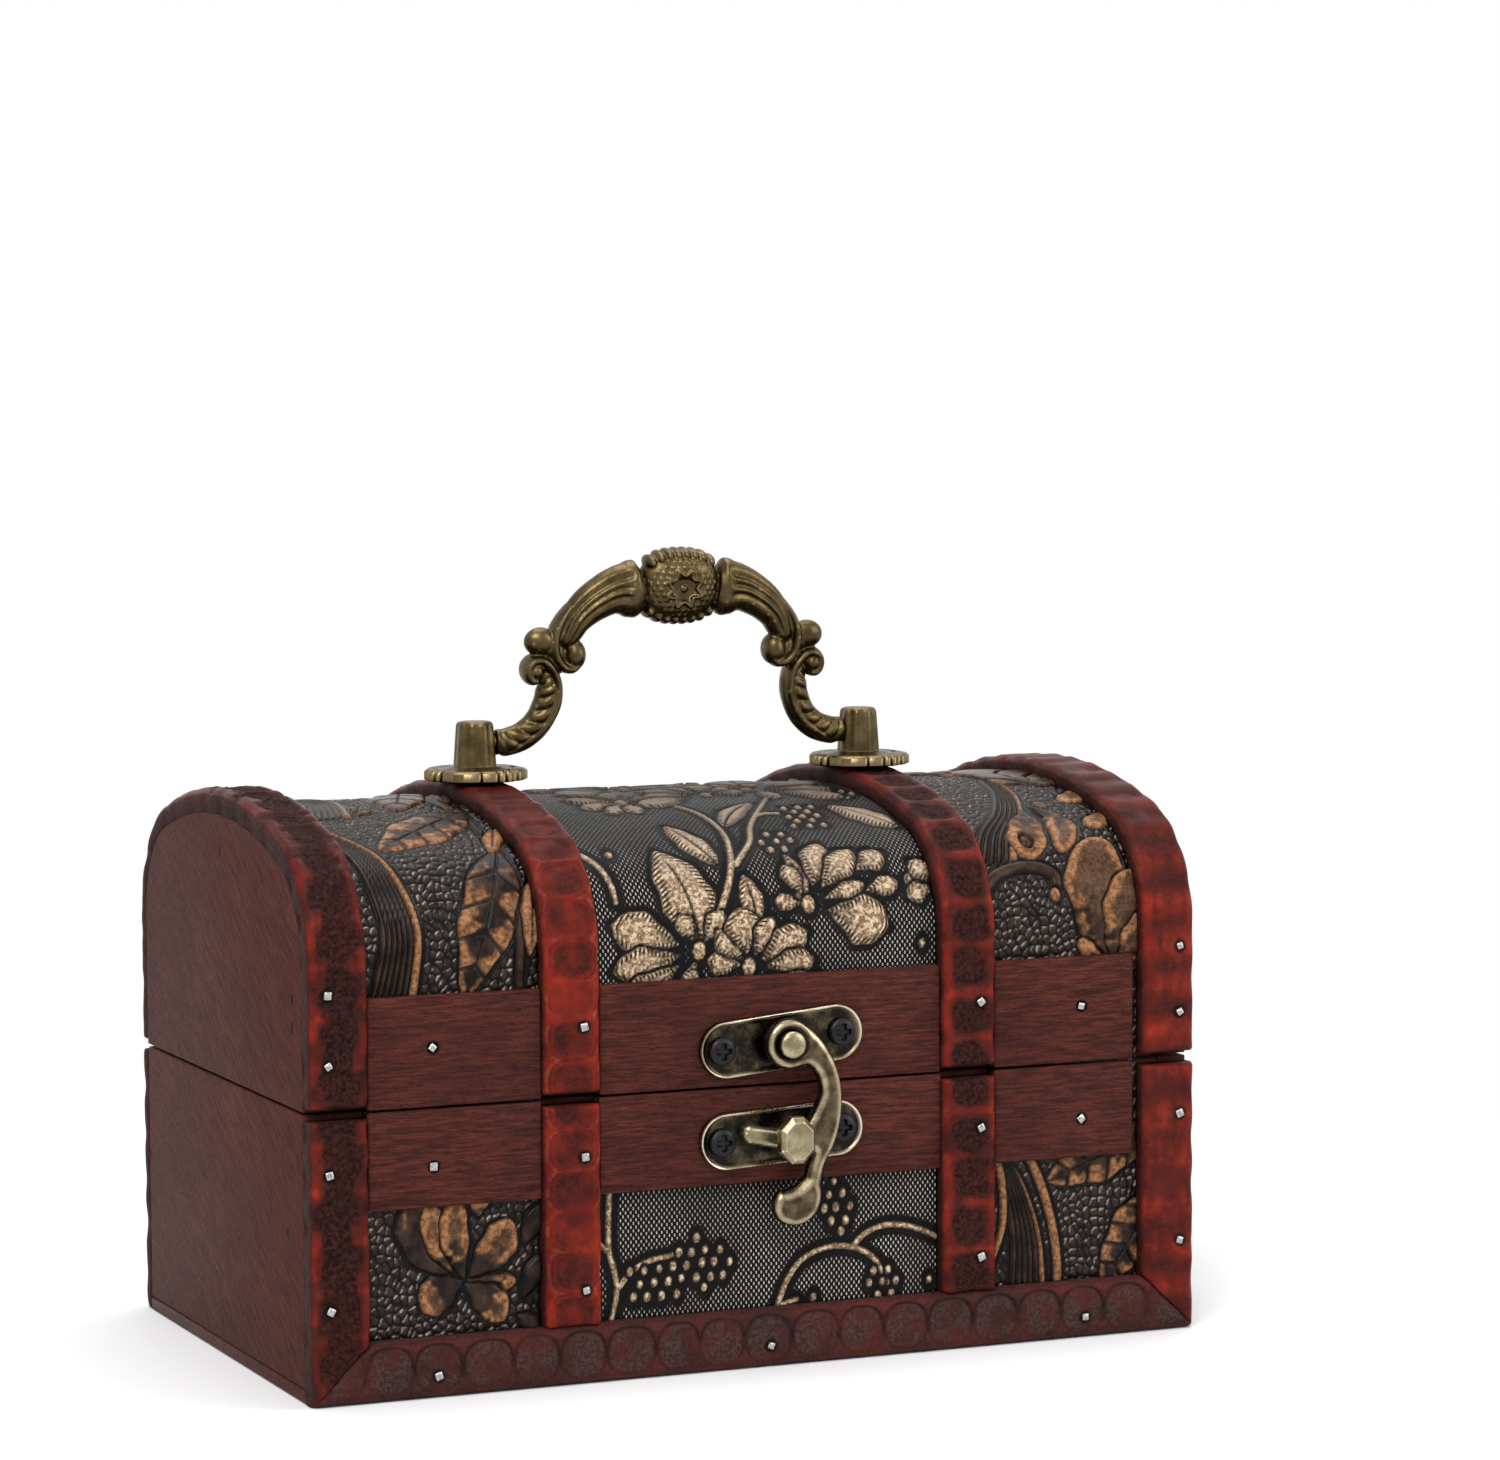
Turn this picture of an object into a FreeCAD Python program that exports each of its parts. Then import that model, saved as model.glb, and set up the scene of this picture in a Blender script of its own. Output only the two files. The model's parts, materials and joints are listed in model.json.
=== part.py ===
"""Small wooden treasure chest: a domed lid, leather panels, carved straps, a cast bail handle and a hook clasp.

The frame is in millimetres with +Z up: X runs along the chest, the front faces -Y, and the origin is the
middle of the underside. The chest is built closed, with the hook on its post and the bail standing.
"""
import FreeCAD
import Part
import Sketcher
import math
import os
import re

SIZES = [
    # Box
    ("box_length", 150.0, "outside length, along X"),
    ("box_depth", 90.0, "outside depth over the straps, along Y"),
    ("box_height", 90.0, "height of the lid's crown over the straps"),
    ("lid_height", 46.0, "height of the lid's crown above the base's rim"),
    ("seam_gap", 0.4, "gap between the base's rim and the lid's rim"),
    ("arch_corner_radius", 20.0, "radius of the lid's shoulders"),
    ("arch_crown_radius", 100.0, "radius of the lid's crown"),
    ("overrun", 2.0, "how far every cut runs past the face it opens"),
    # Boards
    ("end_thick", 5.0, "thickness of the end panels"),
    ("board_thick", 5.0, "thickness of the front and back boards"),
    ("bottom_thick", 2.0, "thickness of the bottom panel"),
    ("top_thick", 2.5, "thickness of the lid's bent top"),
    ("lid_board_height", 18.0, "height of the lid's front and back boards"),
    # Straps, strips and leather
    ("strap_width", 9.5, "width of the carved straps and corner strips"),
    ("strap_thick", 4.0, "how far the straps stand out from the boards"),
    ("strap_bevel", 1.1, "bevel of the straps' outer edges"),
    ("strap_end_gap", 0.8, "how far the straps stop short of the rims"),
    ("strap_spacing", 67.4, "distance between the middle straps"),
    ("strap_shift", 1.0, "how far the middle straps sit to the right of centre"),
    ("bottom_strip_height", 9.0, "height of the strip along the foot of the front"),
    ("leather_thick", 1.0, "thickness of the leather"),
    ("rail_thick", 1.5, "thickness of the front rails, nailed over the leather"),
    ("back_rail_thick", 1.8, "thickness of the back rails, nailed on the boards"),
    ("lid_rail_height", 17.0, "height of the rails along the lid's rim"),
    ("base_rail_height", 15.0, "height of the rails along the base's rim"),
    ("right_rail_gap", 1.2, "leather left showing at the right end of the front rails"),
    # Brads
    ("brad_side", 1.3, "side of a square brad"),
    ("brad_proud", 0.15, "how far a brad's head stands out"),
    ("brad_bite", 3.5, "depth of a brad in the board"),
    ("brad_offset", 1.8, "distance of a strap's brads from the middle of the strap"),
    ("lid_rail_brad_rise", 9.0, "height of the lid rails' brads above the rim"),
    ("lid_low_brad_rise", 7.3, "height of the end straps' lower brads above the rim"),
    ("lid_brad_rise", 10.9, "height of the middle straps' brads above the rim"),
    ("lid_high_brad_rise", 18.0, "height of the end straps' upper brads above the rim"),
    ("base_brad_drop", 8.8, "depth of the upper brads below the rim"),
    ("base_brad_height", 14.5, "height of the lower brads"),
    ("strip_brad_height", 3.3, "height of the bottom strip's brads"),
    ("rail_brad_inset", 20.0, "distance of the outer rails' brads from the ends of the box"),
    ("back_brad_spacing", 40.0, "distance between the brads of the back's middle rails"),
    ("back_brad_reach", 12.5, "distance of those brads from the rims"),
    # Clasp
    ("clasp_shift", 2.3, "how far the clasp sits to the right of centre"),
    ("clasp_rise", 6.6, "height of the hook's rivet above the lid's rim"),
    ("catch_drop", 7.7, "depth of the catch's post below the base's rim"),
    ("plate_length", 27.6, "length of the clasp's plates"),
    ("plate_width", 9.0, "width of the clasp's plates"),
    ("plate_thick", 1.0, "thickness of the clasp's plates"),
    ("plate_screw_spacing", 20.4, "distance between the screws of a plate"),
    ("clasp_tilt", 5.3, "degrees that the upper plate's right end is up"),
    ("catch_tilt", 3.1, "degrees that the lower plate's right end is up"),
    ("boss_length", 11.0, "length of the raised middle of the clasp's plate"),
    ("boss_width", 8.2, "width of the raised middle of the clasp's plate"),
    ("boss_height", 1.5, "height of the raised middle above the plate"),
    ("clasp_head_radius", 2.2, "radius of the clasp screws' heads"),
    ("clasp_head_height", 1.1, "height of the clasp screws' heads"),
    ("clasp_screw_radius", 1.1, "radius of the clasp screws' shanks"),
    ("clasp_screw_length", 6.0, "length of the clasp screws under the head"),
    ("screw_clearance", 0.1, "gap all round a screw in a metal hole"),
    ("pivot_clearance", 0.06, "gap all round a pivot that turns"),
    ("face_clearance", 0.15, "gap between flat faces that turn on each other"),
    ("rivet_radius", 1.5, "radius of the hook's rivet"),
    ("rivet_head_radius", 2.15, "radius of the rivet's head"),
    ("rivet_head_height", 0.9, "height of the rivet's head"),
    ("hook_thick", 2.2, "thickness of the hook"),
    ("hook_eye_radius", 3.95, "outer radius of the hook's eye"),
    ("hook_arm_reach", 8.8, "how far the hook's arm bows out beside the rivet"),
    ("hook_thumb_drop", 14.2, "how far the thumb piece hangs below the post"),
    ("post_neck_radius", 1.0, "radius of the catch post's neck"),
    ("neck_clearance", 0.3, "gap between the hook's notch and the neck"),
    ("knob_width", 5.8, "width of the catch post's head"),
    ("knob_height", 7.3, "height of the catch post's head"),
    ("knob_thick", 2.4, "thickness of the catch post's head"),
    ("knob_corner", 1.9, "cut across the corners of the head"),
    ("knob_bevel", 0.6, "bevel of the head's front edge"),
    ("knob_clearance", 0.4, "gap between the hook and the post's head"),
    ("tail_length", 6.6, "length of the bar beside the post"),
    ("tail_width", 2.4, "width of the bar beside the post"),
    ("tail_thick", 1.7, "height of the bar on its plate"),
    # Hinges
    ("hinge_length", 18.0, "length of a hinge"),
    ("hinge_inset", 3.0, "distance of the hinges from the middle straps"),
    ("hinge_screw_spacing", 11.0, "distance between the screws of a leaf"),
    ("hinge_leaf_height", 9.0, "reach of a leaf from the pin"),
    ("hinge_leaf_thick", 0.8, "thickness of a leaf"),
    ("hinge_barrel_radius", 1.5, "outer radius of the knuckles"),
    ("hinge_pin_radius", 0.75, "radius of the hinge pin"),
    ("hinge_back_gap", 0.1, "gap between the knuckles and the rails"),
    ("knuckle_gap", 0.2, "gap between neighbouring knuckles"),
    ("hinge_head_radius", 1.4, "radius of the hinge screws' heads"),
    ("hinge_head_height", 0.7, "height of the hinge screws' heads"),
    ("hinge_screw_radius", 0.8, "radius of the hinge screws' shanks"),
    ("hinge_screw_length", 5.5, "length of the hinge screws under the head"),
    # Handle
    ("handle_setback", 2.2, "how far in front of the middle the handle stands"),
    ("rosette_radius", 8.4, "outer radius of the rosettes"),
    ("rosette_thick", 2.2, "thickness of the rosettes"),
    ("rosette_bevel", 0.6, "bevel of the rosettes' top edge"),
    ("rosette_notch_depth", 0.7, "depth of the notches round a rosette"),
    ("post_foot_radius", 3.5, "radius of a handle post at its foot"),
    ("post_head_radius", 3.05, "radius of a handle post at its top"),
    ("post_height", 7.2, "height of a handle post"),
    ("post_flute_depth", 0.25, "depth of the flutes down a handle post"),
    ("post_bevel", 0.5, "bevel of a handle post's top"),
    ("post_bore_depth", 5.6, "depth of the screw hole up a handle post"),
    ("pivot_height", 3.6, "height of the bail's pivot above the rosettes"),
    ("pivot_radius", 1.3, "radius of the bail's pivot pins"),
    ("pivot_depth", 1.5, "reach of the bail's pins into the posts"),
    ("shoulder_gap", 0.3, "gap between the bail's shoulders and the posts"),
    ("handle_head_radius", 2.6, "radius of the handle screws' heads"),
    ("handle_head_height", 1.6, "height of the handle screws' heads"),
    ("handle_head_gap", 0.2, "gap under the handle screws' heads, where the bent top curves away"),
    ("handle_screw_radius", 1.25, "radius of the handle screws"),
    ("handle_screw_bite", 5.0, "reach of the handle screws into the posts"),
    ("bail_lean", 8.0, "degrees that the bail leans to the front"),
    ("bail_rise", 24.9, "height of the medallion's centre above the pivot"),
    ("bail_leg_radius", 2.25, "radius of the bail's legs"),
    ("bail_bend_radius", 7.5, "radius of the bail's lower bends"),
    ("bail_elbow_reach", 21.4, "distance of the bail's upright legs from its middle"),
    ("medallion_radius", 6.2, "radius of the medallion"),
    ("medallion_thick", 7.4, "thickness of the medallion"),
    ("bead_depth", 0.45, "depth of the dips between the beads of the medallion's rim"),
    ("flute_depth", 0.4, "depth of the flutes along the bail's arms"),
    ("trumpet_height", 9.8, "height of the bail's arms at the medallion"),
]
NAMES = {alias for alias, value, meaning in SIZES}

# Counts of what repeats round a turned piece, and of the sides of a screw's head and shank and of a knuckle
ROSETTE_NOTCHES = 14
POST_FLUTES = 10
ARM_FLUTES = 6
MEDALLION_BEAD_COUNT = 16
LEG_SIDES = 8
LEG_TURNS = range(0, 91, 15)
HEAD_SIDES = 8
SHANK_SIDES = 6
KNUCKLE_SIDES = 10
# Each arm of the bail, from the scroll to the medallion: reach as a share of bail_elbow_reach, height of
# bail_rise and width of trumpet_height, and the way it heads in degrees from straight up.
ARM_SHARES = [
    (0.93, 0.57, 0.34, -5.0),
    (0.915, 0.68, 0.44, 14.0),
    (0.845, 0.79, 0.54, 34.0),
    (0.73, 0.885, 0.62, 52.0),
    (0.59, 0.955, 0.76, 70.0),
    (0.44, 0.985, 0.96, 84.0),
    (0.37, 0.99, 1.0, 90.0),
    (0.30, 0.99, 0.90, 90.0),
]
ARM_DEPTH_SHARE = 0.72
# The bar that joins the arms inside the medallion, as a share of trumpet_height.
BAR_SHARE = 0.78
# Each scroll of the bail: reach and height as the arms have them, radius as a share of bail_leg_radius.
SCROLL_SHARES = [
    (0.875, 0.555, 1.3),
    (1.105, 0.50, 1.12),
    (1.085, 0.645, 1.16),
]
# Rings of a scroll from face to face: place and radius, as shares of the half thickness and of the radius.
SCROLL_RING_SHARES = [(-1.0, 0.55), (-0.55, 1.0), (0.55, 1.0), (1.0, 0.55)]
SCROLL_SIDES = 8
# Rings of the medallion, likewise.
MEDALLION_RING_SHARES = [(-1.0, 0.42), (-0.72, 0.82), (-0.45, 1.0), (0.45, 1.0), (0.72, 0.82), (1.0, 0.42)]
# The hook's outline from the rivet: sideways as a share of hook_arm_reach, down as a share of the post's depth.
HOOK_SHARES = {
    "bow_top": (0.80, 0.14),
    "bow_side": (1.0, 0.575),
    "bow_low": (0.965, 0.86),
    "heel": (0.77, 1.19),
    "heel_mid": (0.63, 1.33),
    "neck_low": (0.36, 1.43),
    "neck_mid": (0.39, 1.29),
    "finger_root": (0.44, 1.155),
    "finger_low": (0.22, 1.15),
    "finger_tip": (-0.05, 1.15),
    "throat_low": (0.37, 0.81),
    "throat_side": (0.575, 0.58),
    "throat_top": (0.56, 0.40),
    "throat_end": (0.33, 0.235),
}
# The thumb piece from the post: sideways as before, down as a share of hook_thumb_drop.
THUMB_SHARES = {
    "outer_start": (0.54, 0.54),
    "outer_mid": (0.35, 0.93),
    "bottom": (-0.14, 0.945),
    "inner_mid": (-0.335, 0.77),
    "inner_end": (-0.18, 0.60),
    "bend": (0.16, 0.555),
}

# Which point of a line, and which axis, a sketch's constraint takes
START_INDEX, END_INDEX, CENTRE_INDEX = range(1, 4)
LEVEL_AXIS_INDEX, UPRIGHT_AXIS_INDEX = range(-1, -3, -1)
ORIGIN_POINT = (LEVEL_AXIS_INDEX, START_INDEX)
UP = FreeCAD.Vector(0, 0, 1)

doc = FreeCAD.newDocument("treasure_chest")
sheet = doc.addObject("Spreadsheet::Sheet", "sizes")
for row, (alias, value, meaning) in enumerate(SIZES, start=1):
    sheet.set(f"A{row}", meaning)
    sheet.set(f"B{row}", str(value))
    sheet.setAlias(f"B{row}", alias)
doc.recompute()
probe = doc.addObject("App::FeaturePython", "probe")
probe.addProperty("App::PropertyFloat", "Result")
nodes = {}


# Formulas and sketches
def formula(text):
    """The text with each size's name turned into its cell."""
    return re.sub(r"[a-z_]+", lambda word: f"sizes.{word[0]}" if word[0] in NAMES else word[0], text)


def bind(thing, setting, text):
    thing.setExpression(setting, formula(text))


def number(text):
    """What a formula comes to, in millimetres."""
    bind(probe, "Result", text)
    probe.recompute()
    return probe.Result


def place(thing, x="0", y="0", z="0", axis=UP, degrees=0):
    thing.Placement = FreeCAD.Placement(FreeCAD.Vector(), FreeCAD.Rotation(axis, degrees))
    for letter, text in zip("xyz", (x, y, z)):
        bind(thing, f"Placement.Base.{letter}", text)
    return thing


def node(label, thing):
    thing.Label = label
    nodes[label] = thing
    return thing


def new_body(name):
    return doc.addObject("PartDesign::Body", name)


def flat_sketch(body, role):
    sketch = body.newObject("Sketcher::SketchObject", f"{body.Name}_outline")
    plane = next(feature for feature in body.Origin.OriginFeatures if feature.Role == role)
    sketch.AttachmentSupport = [(plane, "")]
    sketch.MapMode = "FlatFace"
    return sketch


def constrain(sketch, *terms):
    return sketch.addConstraint(Sketcher.Constraint(*terms))


def dimension(sketch, name, text, kind, *terms):
    """A named dimension of the sketch that follows a formula."""
    sketch.renameConstraint(constrain(sketch, kind, *terms, number(text)), name)
    bind(sketch, f"Constraints.{name}", text)


def polygon_sketch(body, role, corners):
    """A closed outline of straight lines whose corners follow formulas."""
    sketch = flat_sketch(body, role)
    points = [FreeCAD.Vector(number(x), number(y)) for x, y in corners]
    for index, point in enumerate(points):
        sketch.addGeometry(Part.LineSegment(point, points[(index + 1) % len(points)]), False)
    for index, (x, y) in enumerate(corners):
        constrain(sketch, "Coincident", index, END_INDEX, (index + 1) % len(points), START_INDEX)
        dimension(sketch, f"x{index}", x, "DistanceX", *ORIGIN_POINT, index, START_INDEX)
        dimension(sketch, f"y{index}", y, "DistanceY", *ORIGIN_POINT, index, START_INDEX)
    return sketch


def circle_sketch(body, role, circles):
    """Circles whose middles and radii follow formulas."""
    sketch = flat_sketch(body, role)
    for index, (x, y, radius) in enumerate(circles):
        middle = FreeCAD.Vector(number(x), number(y))
        sketch.addGeometry(Part.Circle(middle, UP, number(radius)), False)
        dimension(sketch, f"radius{index}", radius, "Radius", index)
        dimension(sketch, f"x{index}", x, "DistanceX", *ORIGIN_POINT, index, CENTRE_INDEX)
        dimension(sketch, f"y{index}", y, "DistanceY", *ORIGIN_POINT, index, CENTRE_INDEX)
    return sketch


def stadium_sketch(body, role, length, width):
    """A bar with round ends, about the body's origin."""
    sketch = flat_sketch(body, role)
    radius = number(f"({width}) / 2")
    reach = number(f"(({length}) - ({width})) / 2")
    right = FreeCAD.Vector(reach, 0)
    rise = FreeCAD.Vector(0, radius)
    sketch.addGeometry([
        Part.LineSegment(right + rise, rise - right),
        Part.ArcOfCircle(Part.Circle(-right, UP, radius), math.pi / 2, math.pi * 3 / 2),
        Part.LineSegment(-right - rise, right - rise),
        Part.ArcOfCircle(Part.Circle(right, UP, radius), -math.pi / 2, math.pi / 2),
    ], False)
    for index in range(4):
        constrain(sketch, "Tangent", index, END_INDEX, (index + 1) % 4, START_INDEX)
    constrain(sketch, "Equal", 1, 3)
    constrain(sketch, "Horizontal", 0)
    constrain(sketch, "Symmetric", 1, CENTRE_INDEX, 3, CENTRE_INDEX, *ORIGIN_POINT)
    dimension(sketch, "end_radius", f"({width}) / 2", "Radius", 1)
    dimension(sketch, "reach", f"({length}) - ({width})", "DistanceX", 1, CENTRE_INDEX, 3, CENTRE_INDEX)
    return sketch


def arch_sketch(body, inset, foot):
    """The lid seen from its end, set in from the outside of the straps and cut off level at its foot."""
    sketch = flat_sketch(body, "YZ_Plane")
    half = number(f"box_depth / 2 - ({inset})")
    corner = number(f"arch_corner_radius - ({inset})")
    crown = number(f"arch_crown_radius - ({inset})")
    middle = number("box_height - arch_crown_radius")
    bottom = number(foot)
    side = half - corner
    spring = middle + math.sqrt((crown - corner) ** 2 - side ** 2)
    turn = math.atan2(spring - middle, side)
    sketch.addGeometry([
        Part.LineSegment(FreeCAD.Vector(-half, bottom), FreeCAD.Vector(-half, spring)),
        Part.ArcOfCircle(Part.Circle(FreeCAD.Vector(-side, spring), UP, corner), math.pi - turn, math.pi),
        Part.ArcOfCircle(Part.Circle(FreeCAD.Vector(0, middle), UP, crown), turn, math.pi - turn),
        Part.ArcOfCircle(Part.Circle(FreeCAD.Vector(side, spring), UP, corner), 0, turn),
        Part.LineSegment(FreeCAD.Vector(half, bottom), FreeCAD.Vector(half, spring)),
        Part.LineSegment(FreeCAD.Vector(-half, bottom), FreeCAD.Vector(half, bottom)),
    ], False)
    constrain(sketch, "Tangent", 0, END_INDEX, 1, END_INDEX)
    constrain(sketch, "Tangent", 1, START_INDEX, 2, END_INDEX)
    constrain(sketch, "Tangent", 2, START_INDEX, 3, END_INDEX)
    constrain(sketch, "Tangent", 3, START_INDEX, 4, END_INDEX)
    constrain(sketch, "Coincident", 0, START_INDEX, 5, START_INDEX)
    constrain(sketch, "Coincident", 4, START_INDEX, 5, END_INDEX)
    constrain(sketch, "Vertical", 0)
    constrain(sketch, "Vertical", 4)
    constrain(sketch, "Symmetric", 0, START_INDEX, 4, START_INDEX, UPRIGHT_AXIS_INDEX)
    constrain(sketch, "PointOnObject", 2, CENTRE_INDEX, UPRIGHT_AXIS_INDEX)
    constrain(sketch, "Equal", 1, 3)
    dimension(sketch, "corner", f"arch_corner_radius - ({inset})", "Radius", 1)
    dimension(sketch, "crown", f"arch_crown_radius - ({inset})", "Radius", 2)
    dimension(sketch, "width", f"box_depth - 2 * ({inset})", "DistanceX", 0, START_INDEX, 4, START_INDEX)
    dimension(sketch, "foot", foot, "DistanceY", *ORIGIN_POINT, 0, START_INDEX)
    dimension(sketch, "middle", "box_height - arch_crown_radius", "DistanceY", *ORIGIN_POINT, 2, CENTRE_INDEX)
    return sketch


# Features
def pad(body, sketch, length, backwards=False):
    feature = body.newObject("PartDesign::Pad", f"{body.Name}_pad")
    feature.Profile = sketch
    feature.Reversed = backwards
    bind(feature, "Length", length)
    doc.recompute()
    return feature


def pocket(body, sketch, backwards=True):
    """A cut through everything, turned round to meet the solid, because a sketch's own side is the pad's."""
    feature = body.newObject("PartDesign::Pocket", f"{body.Name}_pocket")
    feature.Profile = sketch
    feature.Type = "ThroughAll"
    feature.Reversed = backwards
    doc.recompute()
    return feature


def bevelled(body, base, size, wanted):
    """Bevels the edges of the base feature that the test picks."""
    edges = [f"Edge{count}" for count, edge in enumerate(base.Shape.Edges, start=1) if wanted(edge)]
    feature = body.newObject("PartDesign::Chamfer", f"{body.Name}_bevel")
    feature.Base = (base, edges)
    bind(feature, "Size", size)
    doc.recompute()
    return feature


def revolution(body, corners):
    """A turned solid about the body's Z axis; corners are radius and height."""
    sketch = polygon_sketch(body, "XZ_Plane", corners)
    feature = body.newObject("PartDesign::Revolution", f"{body.Name}_turning")
    feature.Profile = sketch
    feature.ReferenceAxis = (sketch, ["V_Axis"])
    feature.Angle = 360
    doc.recompute()
    return feature


def span(edge, letter):
    """How far an edge reaches along one axis."""
    return getattr(edge.BoundBox, f"{letter}Length")


def box(name, x, y, z):
    """A straight piece between two formulas on each axis."""
    piece = doc.addObject("Part::Box", name)
    for setting, letter, (low, high) in zip(("Length", "Width", "Height"), "xyz", (x, y, z)):
        bind(piece, setting, f"({high}) - ({low})")
        bind(piece, f"Placement.Base.{letter}", low)
    return piece


def rod(name, radius, length, **where):
    piece = doc.addObject("Part::Cylinder", name)
    bind(piece, "Radius", radius)
    bind(piece, "Height", length)
    return place(piece, **where)


def group(name, pieces):
    together = doc.addObject("Part::Compound", name)
    together.Links = pieces
    return together


def fused(name, pieces):
    together = doc.addObject("Part::MultiFuse", name)
    together.Shapes = pieces
    return together


def cut(name, piece, tools):
    """The piece with the space of each tool taken out."""
    piece.Label = f"{name} blank"
    result = doc.addObject("Part::Cut", name)
    result.Base = piece
    result.Tool = tools[0] if len(tools) == 1 else group(f"{name}_tools", tools)
    return node(name, result)


# Places that several pieces share
LEFT, RIGHT = "-box_length / 2", "box_length / 2"
FRONT, BACK = "-box_depth / 2", "box_depth / 2"
FRONT_BOARD, BACK_BOARD = "(strap_thick - box_depth / 2)", "(box_depth / 2 - strap_thick)"
FRONT_LEATHER = "(strap_thick - leather_thick - box_depth / 2)"
FRONT_RAIL = "(strap_thick - leather_thick - rail_thick - box_depth / 2)"
BACK_RAIL = "(box_depth / 2 - strap_thick + back_rail_thick)"
BASE_RIM = "(box_height - lid_height)"
LID_RIM = f"({BASE_RIM} + seam_gap)"
BASE_STRAP_END, LID_STRAP_END = f"({BASE_RIM} - strap_end_gap)", f"({LID_RIM} + strap_end_gap)"
LID_BOARD_TOP = f"({LID_RIM} + lid_board_height)"
STRAPS = {
    "left_end": "(strap_width / 2 - box_length / 2)",
    "mid_left": "(strap_shift - strap_spacing / 2)",
    "mid_right": "(strap_shift + strap_spacing / 2)",
    "right_end": "(box_length / 2 - strap_width / 2)",
}
BAYS = {
    "left": (f"{STRAPS['left_end']} + strap_width / 2", f"{STRAPS['mid_left']} - strap_width / 2"),
    "center": (f"{STRAPS['mid_left']} + strap_width / 2", f"{STRAPS['mid_right']} - strap_width / 2"),
    "right": (f"{STRAPS['mid_right']} + strap_width / 2", f"{STRAPS['right_end']} - strap_width / 2"),
}
HANDLES = {"left": STRAPS["mid_left"], "right": STRAPS["mid_right"]}
HINGES = {
    "left": f"({BAYS['center'][0]} + hinge_inset + hinge_length / 2)",
    "right": f"({BAYS['center'][1]} - hinge_inset - hinge_length / 2)",
}
RAIL_BRAD = "(box_length / 2 - rail_brad_inset)"
BASE_BRAD = f"({BASE_RIM} - base_brad_drop)"
RIVET_HEIGHT = f"({LID_RIM} + clasp_rise)"
POST_HEIGHT = f"({BASE_RIM} - catch_drop)"
PLATES = {"clasp": (RIVET_HEIGHT, "clasp_tilt"), "catch": (POST_HEIGHT, "catch_tilt")}
HINGE_Y = f"({BACK_RAIL} + hinge_back_gap + hinge_barrel_radius)"
HINGE_Z = f"({BASE_RIM} + seam_gap / 2)"
LEAF_SCREW_REACH = "(hinge_leaf_height + hinge_barrel_radius) / 2"
ROSETTE_TOP = "(box_height + rosette_thick)"
PIVOT_Z = f"({ROSETTE_TOP} + pivot_height)"
PIN_END = "(post_foot_radius - pivot_depth)"


# Fasteners, which cut their own holes in the wood
def square_brad(name, x, z, y):
    return box(name, (f"{x} - brad_side / 2", f"{x} + brad_side / 2"), y,
               (f"{z} - brad_side / 2", f"{z} + brad_side / 2"))


def prism(name, sides, radius, length, **where):
    piece = doc.addObject("Part::Prism", name)
    piece.Polygon = sides
    bind(piece, "Circumradius", radius)
    bind(piece, "Height", length)
    return place(piece, **where)


def screw(name, size, length, degrees, **where):
    """A screw whose head rests on a face; degrees turn it about X, from straight up to where the head looks."""
    lengthways = FreeCAD.Vector(1, 0, 0)
    head = prism(f"{name}_head", HEAD_SIDES, f"{size}_head_radius", f"{size}_head_height",
                 axis=lengthways, degrees=degrees, **where)
    shank = prism(f"{name}_shank", SHANK_SIDES, f"{size}_screw_radius", length,
                  axis=lengthways, degrees=degrees - 180, **where)
    return fused(name, [head, shank])


def front_brads(label, places):
    pieces = [square_brad(f"{label}_{count}", x, z, (f"{face} - brad_proud", f"{FRONT_BOARD} + brad_bite"))
              for count, (x, z, face) in enumerate(places)]
    return pieces


def back_brads(label, places):
    pieces = [square_brad(f"{label}_{count}", x, z, (f"{BACK_BOARD} - brad_bite", f"{face} + brad_proud"))
              for count, (x, z, face) in enumerate(places)]
    return pieces


def strap_brad_x(strap):
    side = "-" if strap == "left_end" else "+"
    return f"{STRAPS[strap]} {side} brad_offset"


def make_brads():
    lid_rise = {"left_end": ("lid_low_brad_rise", "lid_high_brad_rise"), "mid_left": ("lid_brad_rise",),
                "mid_right": ("lid_brad_rise",), "right_end": ("lid_low_brad_rise", "lid_high_brad_rise")}
    lid_front = [(strap_brad_x(strap), f"{LID_RIM} + {rise}", FRONT)
                 for strap, rises in lid_rise.items() for rise in rises]
    lid_front += [(f"{side}{RAIL_BRAD}", f"{LID_RIM} + lid_rail_brad_rise", FRONT_RAIL)
                  for side in ("-", "")]
    lid_back = [(strap_brad_x(strap), f"{LID_RIM} + lid_brad_rise", BACK) for strap in STRAPS]
    lid_back += [(f"{side}back_brad_spacing / 2", f"{LID_RIM} + back_brad_reach", BACK_RAIL)
                 for side in ("-", "")]
    base_front = [(strap_brad_x(strap), z, FRONT)
                  for strap in STRAPS for z in (BASE_BRAD, "base_brad_height")]
    base_front += [(f"{side}{RAIL_BRAD}", BASE_BRAD, FRONT_RAIL) for side in ("-", "")]
    base_front += [(f"{share} * {RAIL_BRAD}", "strip_brad_height", FRONT) for share in ("-1", "0", "1")]
    base_back = [(strap_brad_x(strap), z, BACK)
                 for strap in ("left_end", "right_end")
                 for z in (BASE_BRAD, "base_brad_height")]
    base_back += [(f"{side}back_brad_spacing / 2", f"{BASE_RIM} - back_brad_reach", BACK_RAIL)
                  for side in ("-", "")]
    lid_pieces = front_brads("lid_brad", lid_front) + back_brads("lid_back_brad", lid_back)
    base_pieces = front_brads("base_brad", base_front) + back_brads("base_back_brad", base_back)
    node("lid_brads", group("lid_brads", lid_pieces))
    node("base_brads", group("base_brads", base_pieces))


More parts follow.
